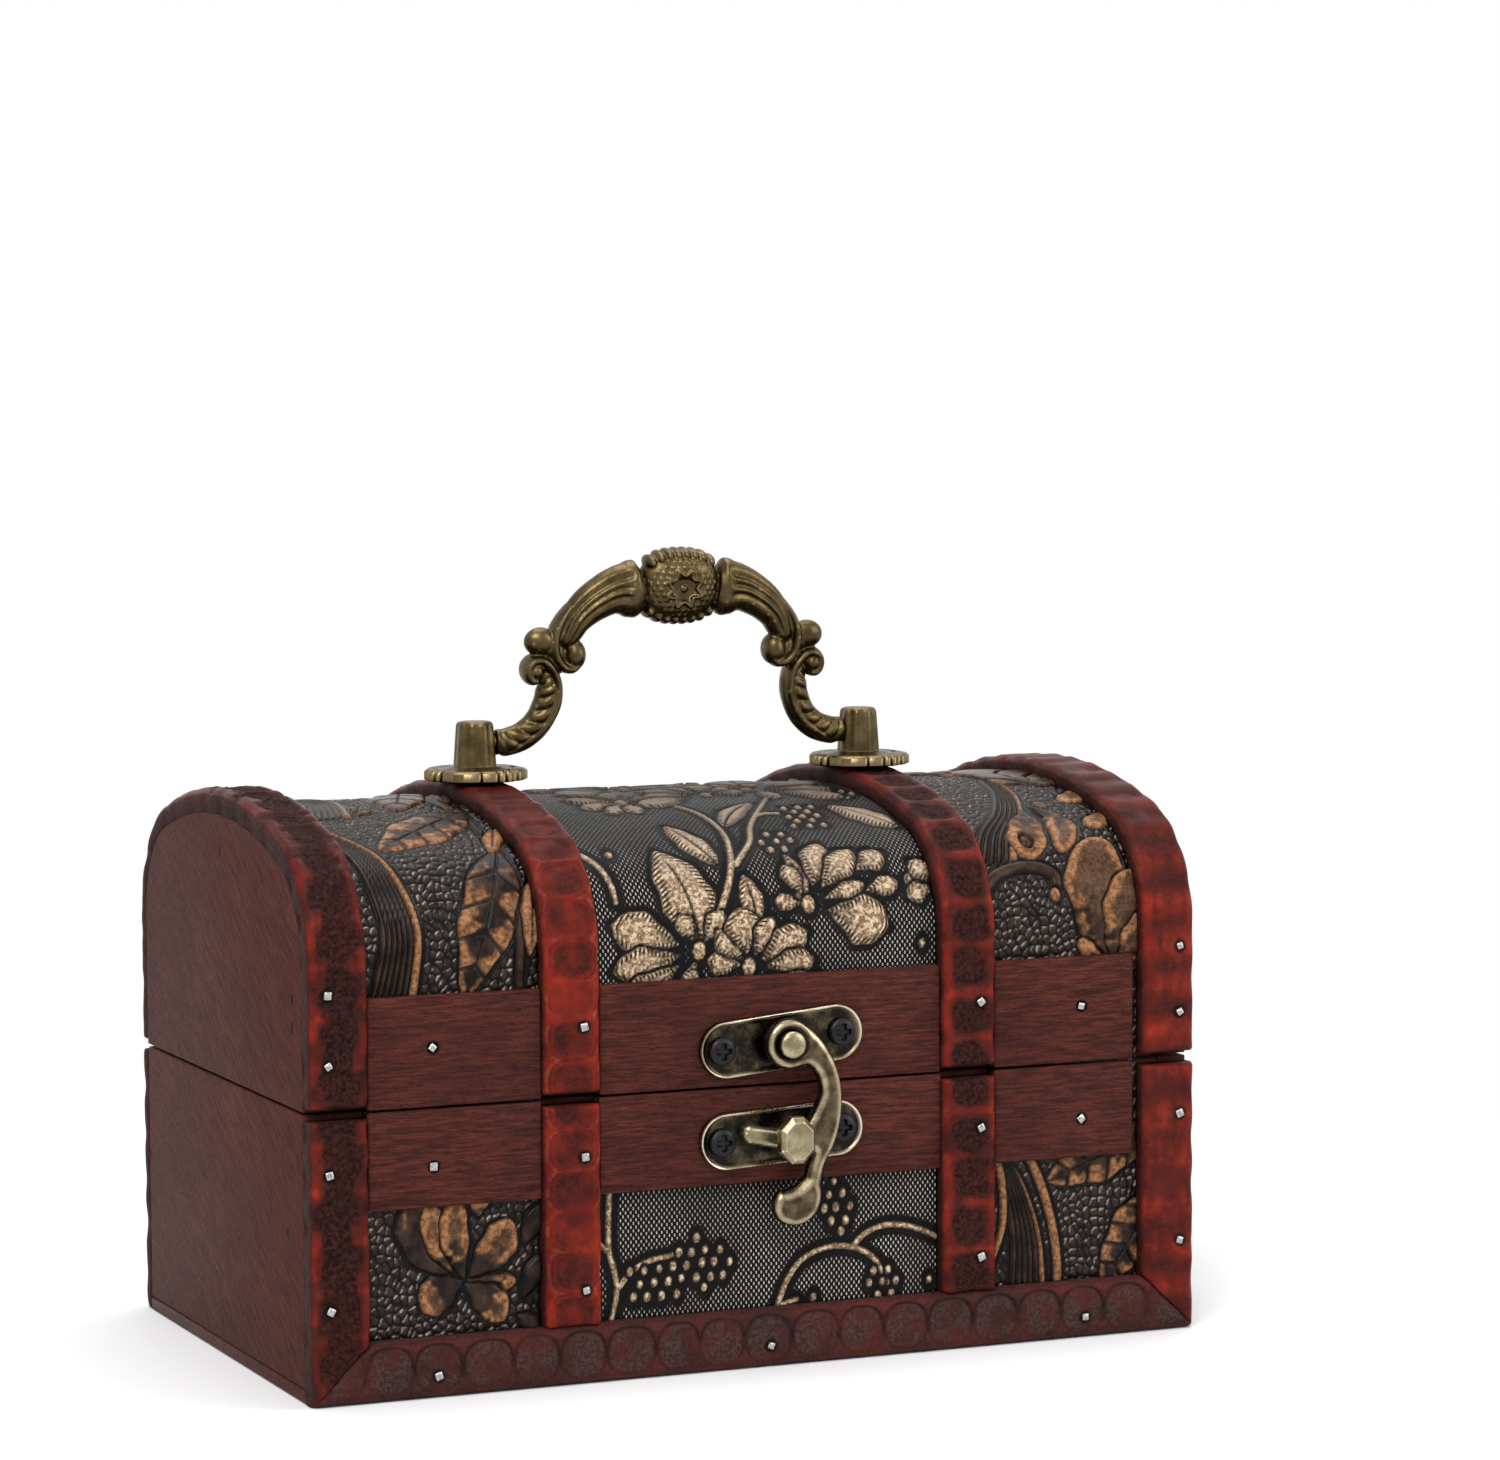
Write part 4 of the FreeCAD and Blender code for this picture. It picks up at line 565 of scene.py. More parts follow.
class Emboss:
    """A panel of leather seen flat, with the relief and tone that its motifs leave on it."""

    def __init__(self, across, along, moat, halo):
        self.u, self.v = np.meshgrid(across, along)
        self.across, self.along = across, along
        self.moat, self.halo = moat, halo
        self.ground = np.ones(self.u.shape)
        self.height, self.tone, self.ridge, self.grain, self.band = np.zeros((5, *self.u.shape))

    def window(self, low, high):
        """The part of the panel between two corners, with room for the moat, or None."""
        columns = np.searchsorted(self.across, (low[0] - self.halo, high[0] + self.halo))
        rows = np.searchsorted(self.along, (low[1] - self.halo, high[1] + self.halo))
        if columns[0] == columns[1] or rows[0] == rows[1]:
            return None
        return slice(*rows), slice(*columns)

    def paint(self, part, distance, rise, tone):
        """Raises a motif, given its signed distance, out of a dark moat."""
        inside = smooth(EDGE, -EDGE, distance)
        around = smooth(0.55 * self.halo, 0.3 * self.halo, distance)
        swell = 1 - np.exp(np.minimum(distance, 0) / 0.45)
        self.height[part] = self.height[part] * (1 - around) - self.moat * around
        self.height[part] += inside * (self.moat + rise * (0.3 + 0.7 * swell))
        self.tone[part] = self.tone[part] * (1 - around) + inside * tone
        self.ground[part] *= 1 - smooth(self.halo, 0.7 * self.halo, distance)
        self.ridge[part] = np.maximum(self.ridge[part] * (1 - around), inside)
        self.band[part] *= 1 - around

    def strokes(self, lines, rise=0.4, tone=1.0):
        """Lines that run into each other, each by its points and the widths it tapers between."""
        distance = np.full(self.u.shape, 1e9)
        for points, start, end in lines:
            line = curve_through(points)
            part = self.window(line.min(0) - start, line.max(0) + start)
            if part is None:
                continue
            widths = np.linspace(start, end, len(line)) / 2
            for (x, y), (step_x, step_y), width in zip(line, np.diff(line, axis=0), widths):
                u, v = self.u[part] - x, self.v[part] - y
                share = np.clip((u * step_x + v * step_y) / (step_x ** 2 + step_y ** 2 + 1e-9), 0, 1)
                gap = np.hypot(u - share * step_x, v - share * step_y) - width
                distance[part] = np.minimum(distance[part], gap)
        self.paint((slice(None), slice(None)), distance, rise, tone)

    def blade(self, root, tip, half, bend, rub, look="leaf", rise=0.42, fullness=0.85, blunt=0.75, veins=0):
        """A leaf or petal from its root to its tip; fullness over 1 puts its widest place nearer the tip.

        Rub gives the shares of its length between which it turns bright, and bend how far its middle leans.
        """
        root, tip = np.array(root, float), np.array(tip, float)
        size = np.hypot(*(tip - root))
        forth = (tip - root) / size
        reach = half + abs(bend)
        part = self.window(np.minimum(root, tip) - reach, np.maximum(root, tip) + reach)
        if part is None:
            return
        u, v = self.u[part] - root[0], self.v[part] - root[1]
        along = (u * forth[0] + v * forth[1]) / size
        inner = np.clip(along, 0, 1)
        aside = v * forth[0] - u * forth[1] - bend * 4 * inner * (1 - inner)
        off = abs(aside)
        wave = 0.07 * half * np.sin(along * 17 + root[0])
        profile = half * np.sin(math.pi * inner ** fullness) ** blunt + wave * np.sin(math.pi * inner)
        past = np.maximum(np.maximum(-along, along - 1), 0) * size
        distance = np.hypot(np.maximum(off - profile, 0), past)
        depth = np.maximum(off - profile, -np.minimum(inner, 1 - inner) * size)
        distance = np.where(distance > 0, distance, depth)
        fleck = value_noise(self.u[part], self.v[part], 0.9, 5) - 0.5
        tone = smooth(rub[0], rub[1], along + 0.5 * fleck)
        cuts = np.zeros(u.shape)
        if look == "plain":
            tone = tone * (0.25 + 0.75 * smooth(-1.9, -0.8, distance + 1.4 * fleck))
        elif look == "petal":
            comb = 0.5 + 0.5 * np.sin(np.arctan2(aside, inner * size + 0.8) * 74.8 / max(half, 1))
            cuts = 0.8 * comb * smooth(0.62, 0.18, along + 0.3 * fleck)
        else:
            wide = 0.34 if look == "split" else 0.2
            cuts = smooth(wide, 0.4 * wide, off) * smooth(0.92, 0.75, along)
        if veins:
            phase = (along * veins - 0.32 * off / half * veins / 3) % 1.0
            near = np.minimum(phase, 1 - phase) * size / veins
            cuts = np.maximum(cuts, smooth(0.55, 0.25, near))
            tone = tone * smooth(0.35, 0.75, 0.5 * phase + 0.8 * off / (profile + 0.1) - 0.1 + 0.35 * fleck)
        self.paint(part, distance, rise, tone * (1 - cuts))
        inside = smooth(EDGE, -EDGE, distance)
        self.height[part] -= cuts * 0.8 * rise * inside
        self.grain[part] = np.where(distance < 0.4, along * size + 0.35 * off, self.grain[part])
        rim = inside * smooth(-0.5 * half, -0.16 * half, distance + 0.5 * fleck)
        self.band[part] = np.maximum(self.band[part], rim)

    def berry(self, centre, radius, rise=0.4, tone=1.0):
        part = self.window(np.array(centre) - 2 * radius, np.array(centre) + 2 * radius)
        if part is not None:
            u, v = self.u[part] - centre[0], self.v[part] - centre[1]
            self.paint(part, np.hypot(u * 1.25, v * 0.9) - radius, rise, tone)

    def bunch(self, centre, wide, tall, pitch, seed, lean):
        """Berries on a staggered grid inside an oval."""
        chance = np.random.default_rng(seed)
        for row in range(-int(tall / pitch) - 1, int(tall / pitch) + 2):
            for column in range(-int(wide / pitch) - 1, int(wide / pitch) + 2):
                x = (column + 0.5 * (row % 2)) * pitch
                y = row * pitch * 0.85
                if (x / wide) ** 2 + (y / tall) ** 2 < 1:
                    shift = chance.uniform(-0.2, 0.2, 2)
                    self.berry((centre[0] + x + lean * y + shift[0], centre[1] + y + shift[1]),
                               chance.uniform(0.52, 0.66))

    def sweep(self, spine, count, pitch, aside, copper):
        """Ridges side by side along a spine, the first of them rubbed with copper."""
        spine = np.array(spine, float)
        for index in range(count):
            line = spine + np.array(aside) * index * pitch * np.linspace(0.35, 1, len(spine))[:, None]
            if index == 0:
                self.strokes([(line, copper, copper)], 0.45, 0.95)
            else:
                self.strokes([(line, 0.75, 0.7)], 0.5, 0.03)


# Motifs. A vine has its points and the widths it tapers between, a bunch its centre, half sizes and seed, a
# blade its root, tip, half width and bend, and a petal its angle in degrees, reach, length and half width
LID_VINES = [
    ([(-7, 26.5), (-3.8, 33), (-2, 39), (-1.1, 46.3), (-2.1, 53.8), (-5.5, 60)], 0.95, 0.6),
    ([(-2.2, 35.2), (1.8, 40.2), (4.1, 45.5), (7, 50.5), (11.2, 57), (15.4, 64)], 0.85, 0.6),
    ([(7, 50.5), (9, 51.4), (11.4, 51.2)], 0.6, 0.5),
    ([(-29, 41), (-25.5, 37), (-24, 33), (-23.7, 29.5)], 0.9, 0.6)]
LID_BUNCHES = [((15, 49.5), 3.6, 6.2, 1), ((6.5, 40.3), 3.6, 2.6, 2), ((-22.3, 38.8), 1.7, 2.4, 3),
               ((26, 60.5), 3.2, 3.6, 4), ((27.5, 20.5), 1.6, 3.4, 6)]
LID_LEAVES = [
    ((-10.6, 23), (-14.8, 39), 4.4, -0.6), ((-5.4, 35.5), (-9.8, 47.5), 2.3, 0.5),
    ((-0.6, 25.5), (-1.6, 33), 1.8, 0.0), ((0.2, 46.6), (9.2, 57), 1.9, 0.9),
    ((28.6, 43), (21, 53.5), 2.7, -0.4), ((7, 27), (6.6, 36.8), 1.15, -0.9)]
LID_FLOWERS = [
    ((8.4, 27.6), [(172, 1.4, 4.2, 1.3), (112, 2.0, 5.5, 1.5), (68, 3.2, 9.0, 2.5), (44, 4.0, 9.5, 2.3),
                   (30, 11.0, 6.0, 2.0), (10, 10.5, 5.6, 1.6), (16, 3.2, 7.2, 1.3), (-18, 3.4, 10.5, 3.9)]),
    ((-10.6, 21.2), [(162, 3.6, 11.5, 3.3), (190, 3.4, 11.0, 2.6), (212, 4.0, 12.0, 2.4),
                     (118, 2.0, 4.4, 1.5), (55, 1.8, 5.6, 1.6), (250, 1.6, 6.5, 1.5)]),
    ((-2.2, 18.2), [(168, 1.6, 5.4, 2.0), (132, 1.8, 6.2, 1.9), (98, 2.2, 7.2, 2.9), (62, 2.0, 6.6, 1.7),
                    (28, 2.4, 8.6, 2.7), (2, 3.0, 8.0, 2.2), (-22, 4.0, 11.0, 2.6)]),
    ((-11.8, 61.2), [(200, 1.2, 7.0, 2.0), (238, 1.2, 6.5, 1.6), (275, 1.2, 5.5, 1.6), (160, 1.2, 8.0, 2.2),
                     (25, 1.4, 8.5, 2.2), (-8, 1.4, 9.0, 2.0), (95, 1.4, 6.5, 2.2)]),
    ((31.0, 29.6), [(165, 1.0, 4.6, 1.7), (195, 1.0, 4.6, 1.6), (128, 1.0, 4.8, 1.8)])]
BASE_VINES = [
    [(-25.8, 32), (-26.1, 21), (-25.2, 16.7), (-24.7, 13.2), (-25.9, 8)],
    [(-24.8, 13.4), (-22.5, 16), (-19.6, 17.6), (-15.4, 18.3)],
    [(-28.2, 21.2), (-27, 20.4), (-26, 19.6)],
    [(2.2, 8.5), (4.1, 13), (7, 16.2), (11.6, 17.6), (15.8, 17), (19.1, 15), (21.3, 11)],
    [(15.2, 17.2), (17.5, 19.2), (21.2, 20.3), (25.8, 19.6), (30.5, 17.6)],
    [(2.4, 8.8), (5.6, 9.6)]]
BASE_BUNCHES = [((-18.6, 14.2), 4.6, 3.4, 11), ((-10.6, 16.6), 5.6, 4.0, 12), ((12.6, 23.8), 2.9, 5.2, 13),
                ((20.4, 11.2), 3.2, 2.4, 14), ((8.4, 9.6), 2.2, 1.6, 15), ((28.6, 11.0), 1.4, 2.6, 16)]
LID_PETALS = [
    ((60.2, 15), (61.4, 37.2), 5.2, 2.0), ((61.5, 15), (66.5, 30.5), 4.2, 0.4),
    ((62, 13.5), (69, 23.5), 3.6, -0.4), ((66, 45), (61.6, 40), 1.9, 0.5),
    ((66.5, 56), (62, 50), 2.2, 0.6), ((60, 15.5), (55.4, 19.5), 1.3, 0.3)]
BASE_PETALS = [
    ((-49.9, 17.2), (-58.8, 31), 3.2, 2.4, (0.7, 1.3)), ((-50.1, 17.2), (-56.6, 13), 2.9, -0.6, (0.45, 0.8)),
    ((-49.8, 17.3), (-55.6, 30), 2.1, 1.2, (0.15, 0.6)), ((-49.8, 17.3), (-51.2, 30), 2.3, 0.8, (0.2, 0.5)),
    ((-49, 17.6), (-42, 25.8), 2.9, -0.8, (0.3, 0.65)), ((-49.2, 17), (-41.4, 16.4), 1.5, -0.4, (0.5, 0.9)),
    ((-49.6, 16.4), (-43.2, 10.6), 2.6, 0.6, (0.45, 0.75)), ((-47.6, 26.6), (-46.6, 33), 1.8, 0, (0.0, 0.4)),
    ((-40.4, 13.5), (-37, 20), 1.6, 0, (1.2, 1.6)), ((-40, 22), (-36.8, 28), 1.7, 0, (1.2, 1.6)),
    ((-41, 11), (-37.6, 8.6), 1.4, 0, (1.2, 1.6))]
VEINED = {"veins": 5, "rise": 0.5}
PETAL = {"look": "petal", "fullness": 1.45}
COPPER_PETAL = {"look": "plain", "rise": 0.55, "fullness": 1.5, "blunt": 0.5}
ALL_GOLD, COPPER_TIP = (-1.0, -0.4), (0.2, 0.6)
MOTIF_REPEAT, MIRROR_X = 46, 1.0
LID_BERRIES, BASE_BERRIES = 2.5, 2.35


def lid_center(panel, shift):
    """Flowers, their leaves, vines and berries, moved along the panel and mirrored at every other repeat."""
    flip = -1 if shift // MOTIF_REPEAT % 2 else 1
    at = lambda point: (MIRROR_X + flip * (point[0] - MIRROR_X), point[1] + shift)
    panel.strokes([([at(point) for point in points], *widths) for points, *widths in LID_VINES])
    for centre, wide, tall, seed in LID_BUNCHES:
        panel.bunch(at(centre), wide, tall, LID_BERRIES, seed, 0.2 * flip)
    for root, tip, half, bend in LID_LEAVES:
        panel.blade(at(root), at(tip), half, bend * flip, ALL_GOLD, "split")
    for centre, petals in LID_FLOWERS:
        for degrees, start, length, half in petals:
            way = math.radians(degrees if flip > 0 else 180 - degrees)
            forth = np.array([math.cos(way), math.sin(way)])
            root = np.array(at(centre)) + forth * start
            panel.blade(root, root + forth * length, half, 0.0, ALL_GOLD, **PETAL)
        panel.berry(at(centre), 1.2)


def lid_left(panel, shift):
    """A band of ridges and copper-tipped leaves on a dark stem."""
    at = lambda *points: [(x, y + shift) for x, y in points]
    panel.strokes([(at((-39.6, 64), (-40.2, 50), (-39.6, 38), (-40.4, 16)), 1.1, 1.2)], 0.5, 0.05)
    spine = at((-64.2, 50.5), (-61, 43.5), (-58.6, 35.5), (-56.9, 27.5), (-57.3, 21), (-58.4, 14))
    panel.sweep(spine, 7, 1.15, (-1, -0.25), 1.7)
    panel.blade(*at((-39.8, 58.5), (-58.4, 43)), 4.9, 0.0, (0.15, 0.6), **VEINED)
    panel.blade(*at((-40.2, 41), (-49.4, 16)), 4.4, 0.0, (0.05, 0.75), **VEINED)
    panel.blade(*at((-37.6, 50), (-41.2, 40.5)), 1.5, 0.0, (0.0, 0.4), rise=0.5)
    panel.blade(*at((-36.9, 34), (-38.6, 22)), 1.6, 0.0, (-0.3, 0.3), rise=0.5)
    panel.blade(*at((-53, 62), (-63, 66)), 3.0, 0.0, (-0.2, 0.5), **VEINED)


def lid_right(panel, shift):
    """A band of ridges, a dark tendril and a large flower that the strap cuts off."""
    at = lambda *points: [(x, y + shift) for x, y in points]
    spine = at((56.2, 65), (55, 55), (51.6, 45.5), (47.4, 38.6), (45.2, 32.5))
    panel.sweep(spine, 6, 1.25, (-1, 0.2), 1.3)
    panel.blade(*at((52.6, 46.5), (48.0, 33.4)), 3.2, 0.0, COPPER_TIP, **COPPER_PETAL)
    panel.blade(*at((54.8, 48.5), (54.6, 34.4)), 2.4, 2.2, COPPER_TIP, **COPPER_PETAL)
    panel.berry(*at((48.9, 37.0)), 1.2, 0.5, 0.1)
    panel.berry(*at((57, 49)), 1.5, 0.5, 0.25)
    tendril = at((39, 28.5), (41.8, 30.8), (45.6, 32), (49.6, 31.8), (52, 30), (51.7, 27.4))
    panel.strokes([(tendril, 1.9, 1.7)], 0.55, 0.06)
    panel.berry(*at((51.5, 27)), 1.0, 0.5, 0.9)
    for root, tip, half, bend in LID_PETALS:
        panel.blade(*at(root, tip), half, bend, (0.15, 0.6), **COPPER_PETAL)


def base_center(panel):
    """Thin vines with bunches of berries along the foot of the front."""
    panel.strokes([(points, 0.8, 0.65) for points in BASE_VINES])
    for centre, wide, tall, seed in BASE_BUNCHES:
        panel.bunch(centre, wide, tall, BASE_BERRIES, seed, -0.15)


def base_left(panel):
    for root, tip, half, bend, rub in BASE_PETALS:
        panel.blade(root, tip, half, bend, rub, "plain", 0.55, 1.4, 0.55)


def base_right(panel):
    panel.sweep([(45.6, 31), (48.4, 25), (50.4, 18.5), (51.4, 12), (51.2, 7)], 1, 1.2, (-1, 0), 1.3)
    panel.sweep([(42.2, 28.6), (44.2, 26.4), (46.6, 21), (48.2, 15), (48.8, 7)], 6, 1.1, (-1, 0.05), 0.8)
    panel.strokes([([(40.2, 31), (41.6, 25), (41.6, 18.5), (39.2, 12)], 1.3, 0.9)], 0.45, 0.95)
    panel.blade((68, 32.5), (49.6, 25.2), 4.2, 0.0, (0.0, 0.5), **VEINED)
    panel.blade((70, 22.5), (59.4, 8), 4.2, 0.0, (0.0, 0.5), **VEINED)


PEBBLE_CELL, PEBBLE_SEED = 1.25, 21
LID_MOTIFS = {"left": lid_left, "center": lid_center, "right": lid_right}
BASE_MOTIFS = {"left": base_left, "center": base_center, "right": base_right}


def draw_lid(panel, bay):
    """The motifs three times over the dome, with less gold and copper towards the top."""
    for turn in range(3):
        LID_MOTIFS[bay](panel, turn * MOTIF_REPEAT)
    panel.tone *= 1 - 0.7 * smooth(50, 68, panel.v)


def panel_values(panel, pebbled):
    """What a panel's material reads; a pebbled ground is raised here too."""
    values = {"tone": np.clip(panel.tone, 0, 1)}
    if not pebbled:
        flat = stack(panel.u, panel.v, 0.0)
        return values | {"ground": panel.ground, "grain": panel.grain, "band": panel.band, "flat": flat}
    dome = np.sqrt(np.clip(pebbles(panel.u, panel.v * 0.8, PEBBLE_CELL, PEBBLE_SEED) / 0.6, 0, 1))
    bumps = dome * (0.68 + 0.32 * value_noise(panel.u, panel.v, 1.3, PEBBLE_SEED + 2))
    panel.height += 0.42 * (bumps - 0.6) * panel.ground
    # Painted highlight: pebble rims that slope up and to the left get a bright glint, as if lit from there
    fall_v, fall_u = np.gradient(-bumps)
    worn = smooth(0.12, 0.26, 0.8 * fall_v - 0.6 * fall_u) * smooth(0.3, 0.6, bumps)
    shown = smooth(0.3, 0.97, bumps)
    return values | {"pebble": shown * panel.ground, "glint": worn * panel.ground, "ridge": panel.ridge}


def leather(node, bay, step, ends, draw, hidden, lie):
    """A panel between two ends, kept flat where a rail hides it; lie gives its places in the frame."""
    middle = bay == "center"
    sides = [np.linspace(low, high, int((high - low) / step)) for low, high in (BAYS[bay], ends)]
    panel = Emboss(*sides, *(MIDDLE_MOAT if middle else SIDE_MOAT))
    draw(panel)
    values = panel_values(panel, not middle)
    y, z, out_y, out_z = lie(panel.v)
    lifts = (panel.height * smooth(*hidden, panel.v), -LEATHER_THICK)
    face, back = (stack(panel.u, y + out_y * lift, z + out_z * lift) for lift in lifts)
    closed = lambda rows, other: np.concatenate([rows, other[:, [-1, 0]]], 1)
    values = {key: closed(numbers, numbers) for key, numbers in values.items()}
    piece = loft(f"{node}_{bay}", [closed(face, back)], values)
    dress(piece, BLACK_LEATHER if middle else BROWN_LEATHER)


LID_REACH = arch_length(LEATHER_INSET, LID_RIM) - (LID_RAIL_TOP - LID_RIM)
LID_HIDDEN = (LID_RAIL_TOP - LID_RIM - 0.6, LID_RAIL_TOP - LID_RIM + 0.2)
for bay_name in BAYS:
    leather("lid_leather", bay_name, 0.29 if bay_name == "center" else 0.2, (0, LID_REACH),
            lambda panel: draw_lid(panel, bay_name), LID_HIDDEN, lambda v: arch(v, LEATHER_INSET, LID_RIM))
    leather("base_leather", bay_name, 0.2, (STRIP_HEIGHT, BASE_RIM), BASE_MOTIFS[bay_name],
            (BASE_RAIL_FOOT + 0.6, BASE_RAIL_FOOT - 0.2), lambda v: (LEATHER_INSET - HALF_DEPTH, v, -1, 0))


# Carved straps
CELL = 7.8
CELL_SHARES = {"torn": 0.95, "nubby": 0.95, "smooth": 0.82, "banded": 0.9, "octagon": 1.0}
STYLES = {"left_end": "torn", "mid_left": "smooth", "mid_right": "nubby", "right_end": "banded"}
STRAP_ROUND, STRAP_ROW = 1.7, 0.35
FACE_POINTS = 45
ACROSS = np.concatenate([[-1, -1], -np.cos(np.linspace(0, math.pi, FACE_POINTS)), [1, 1]])
SIDE_DROP = np.concatenate([[STRAP_THICK, 2.2], np.zeros(FACE_POINTS), [2.2, STRAP_THICK]])


def carving(along, across, seed, wide, style):
    """Cells in a row down a strap: how deep they go, and how worn, burnt, lined or rubbed each point is."""
    drift = 0.9 * (value_noise(along, across * 0, 9.0, seed) - 0.5)
    cell = ((along + drift) / (CELL * CELL_SHARES[style]) + 0.13 * seed) % 1.0 - 0.5
    power = 2.6 if style == "octagon" else 3.2
    shape = (abs(cell / 0.49) ** power + abs(across / (0.42 * wide)) ** power) ** (1 / power)
    soft = value_noise(along, across, 2.3, seed + 11)
    fine = value_noise(along, across, 0.7, seed + 3)
    streak = value_noise(along * 0.25, across, 0.9, seed + 17)
    edge = smooth(0.30 * wide, 0.47 * wide, abs(across))
    bar = smooth(0.36, 0.5, abs(cell))
    ring = hump(shape, 0.97, 0.06)
    line = rub = np.zeros_like(shape)
    if style in ("nubby", "torn"):
        torn = shape + 0.7 * (soft - 0.5) + 0.25 * (fine - 0.5)
        core = smooth(0.36 * wide, 0.16 * wide, abs(across) + 2.4 * (streak - 0.4))
        if style == "torn":
            inside = np.maximum(smooth(1.02, 0.62, torn), core)
            depth = 0.46 * smooth(1.05, 0.7, torn) + inside * 0.42 * (fine - 0.4)
            least, shift, char, share = 0.15, 0.1, 0.75, 0.18
        else:
            inside = smooth(1.0, 0.66, shape + 0.4 * (soft - 0.5))
            depth = 0.34 * smooth(1.02, 0.72, shape) + inside * 0.4 * (fine - 0.4)
            least, shift, char, share = 0.2, 0.0, 0.7, 0.25
        worn = np.clip(least + 0.75 * edge + 0.5 * bar, 0, 1) * smooth(shift, shift + 0.7, soft)
        burnt, line, rub = inside * (char + (1 - char) * soft), 0.3 * ring * fine, share * bar * edge * fine
    elif style == "smooth":
        inside = smooth(1.0, 0.72, shape + 0.15 * (soft - 0.5))
        depth = 0.42 * inside + 0.16 * ring + 0.05 * fine
        worn = np.clip(1.0 - 0.62 * inside * (0.55 + 0.45 * soft) + 0.2 * edge, 0, 1)
        burnt, line = 0.5 * inside * smooth(0.15, 0.75, soft), 0.55 * ring * smooth(0.2, 0.7, soft)
        rub = 0.42 * hump(shape, 1.08, 0.06) * smooth(0.3, 0.6, soft) * fine
    elif style == "banded":
        wave = 0.5 + 0.5 * np.cos(FULL_TURN * cell)
        depth = 0.36 * wave * (1 - 0.5 * edge) + 0.04 * fine
        worn = np.clip(1.0 - 0.55 * wave + 0.2 * edge, 0, 1) * smooth(0.0, 0.8, 0.5 * streak + 0.5 * soft)
        burnt, rub = 0.5 * wave * smooth(0.25, 0.75, soft), 0.2 * bar * streak * fine
    else:
        inside = smooth(1.0, 0.8, shape)
        depth = 0.18 * inside + 0.2 * ring + 0.05 * fine
        worn = 0.3 * soft * smooth(0.4, 0.8, streak) * (1 - 0.6 * inside)
        burnt = 0.2 + 0.5 * smooth(0.2, 0.8, soft) * inside
        line = ring * (0.5 + 0.5 * smooth(0.2, 0.5, soft)) * smooth(-0.5 * wide, 0.1 * wide, across)
    return depth, {"worn": worn, "burnt": burnt, "line": line, "rub": rub}


def wavy(along, seed):
    """How far a strap's edges draw in along it."""
    waves = 1 + np.cos(FULL_TURN * (along / CELL + 0.13 * seed))
    return 1 - 0.034 * waves * value_noise(along, along * 0, 4.0, seed)


def islands(node):
    """The lowest and highest corners of each separate solid of a node, in millimetres."""
    mesh = nodes[node].data
    points = np.array([vertex.co for vertex in mesh.vertices]) / MM
    keys = {}
    owner = [keys.setdefault(tuple(np.round(point, 3)), len(keys)) for point in points]
    parent = list(range(len(keys)))

    def find(index):
        while parent[index] != index:
            index = parent[index]
        return index

    for polygon in mesh.polygons:
        first = find(owner[polygon.vertices[0]])
        for vertex in polygon.vertices[1:]:
            parent[find(owner[vertex])] = first
    groups = {}
    for index, point in enumerate(points):
        groups.setdefault(find(owner[index]), []).append(point)
    corners = [(np.min(group, 0), np.max(group, 0)) for group in groups.values()]
    return sorted(corners, key=lambda pair: tuple(pair[0]))


BRADS = {node: islands(node) for node in ("lid_brads", "base_brads")}


def strap(node, along, across, seed, wide, style, to_end, lie, fade=None, look=STRAP_WOOD):
    """A carved strap with rounded edges, painted shade on its edges and sides, and a dark ring of painted
    shade round each brad.

    Along and across are places on its face, to_end is how far each is from the nearest end, and lie gives
    places in the frame from how deep they are. Fade is how much its wear and its rubbed lines keep.
    """
    depth, values = carving(along, across, seed, wide, style)
    edge = np.clip((abs(across) - (wide / 2 - STRAP_ROUND)) / STRAP_ROUND, 0, 1)
    face = SIDE_DROP == 0
    fall = STRAP_ROUND * (1 - np.sqrt(np.maximum(1 - edge ** 2, 0)))
    depth = np.where(face, depth * (1 - edge ** 3) + fall + 0.06, SIDE_DROP)
    # Painted shade: the rounded edges lose their red and darken, and the side faces are painted dark all
    # over
    shade = np.where(face, 1 - 0.8 * smooth(0.75, 1.0, edge), 0.0)
    values = {key: numbers * shade for key, numbers in values.items()}
    values["burnt"] = np.where(face, np.maximum(values["burnt"], 0.5 * smooth(0.8, 1.0, edge)), 0.62)
    if fade:
        values["worn"] *= fade[0]
        values["rub"] *= fade[1]
    near = np.clip(1 - to_end / 0.7, 0, 1)
    depth = np.where(SIDE_DROP < STRAP_THICK, depth + 0.45 * (1 - np.sqrt(1 - near ** 2)), depth)
    rings = stack(*lie(depth))
    for low, high in BRADS["lid_brads"] + BRADS["base_brads"]:
        middle = (low + high) / 2
        gap = np.hypot(rings[..., 0] - middle[0], rings[..., 2] - middle[2])
        # Painted shade: a dark ring round each brad, carried in the line values
        brad_shade = smooth(1.3, 0.95, gap) * (rings[..., 1] * middle[1] > 0)
        values["line"] = np.maximum(values["line"], brad_shade)
    dress(loft(node, [rings], values), look)


def lid_strap(name, seed):
    start = LID_RIM + STRAP_END_GAP
    length = arch_length(0, start)
    rows = np.linspace(0, length, int(length / STRAP_ROW))
    along, across = np.meshgrid(rows, ACROSS * STRAP_WIDTH / 2, indexing="ij")
    y, z, out_y, out_z = arch(along, 0, start)
    x = STRAP_X[name] + across * wavy(along, seed)
    fade = 1 - 0.72 * smooth(22, 52, along), 1 - smooth(25, 50, along)
    to_end = np.minimum(along, length - along)
    strap(f"lid_strap_{name}", along, across, seed, STRAP_WIDTH, STYLES[name], to_end,
          lambda depth: (x, y - out_y * depth, z - out_z * depth), fade)


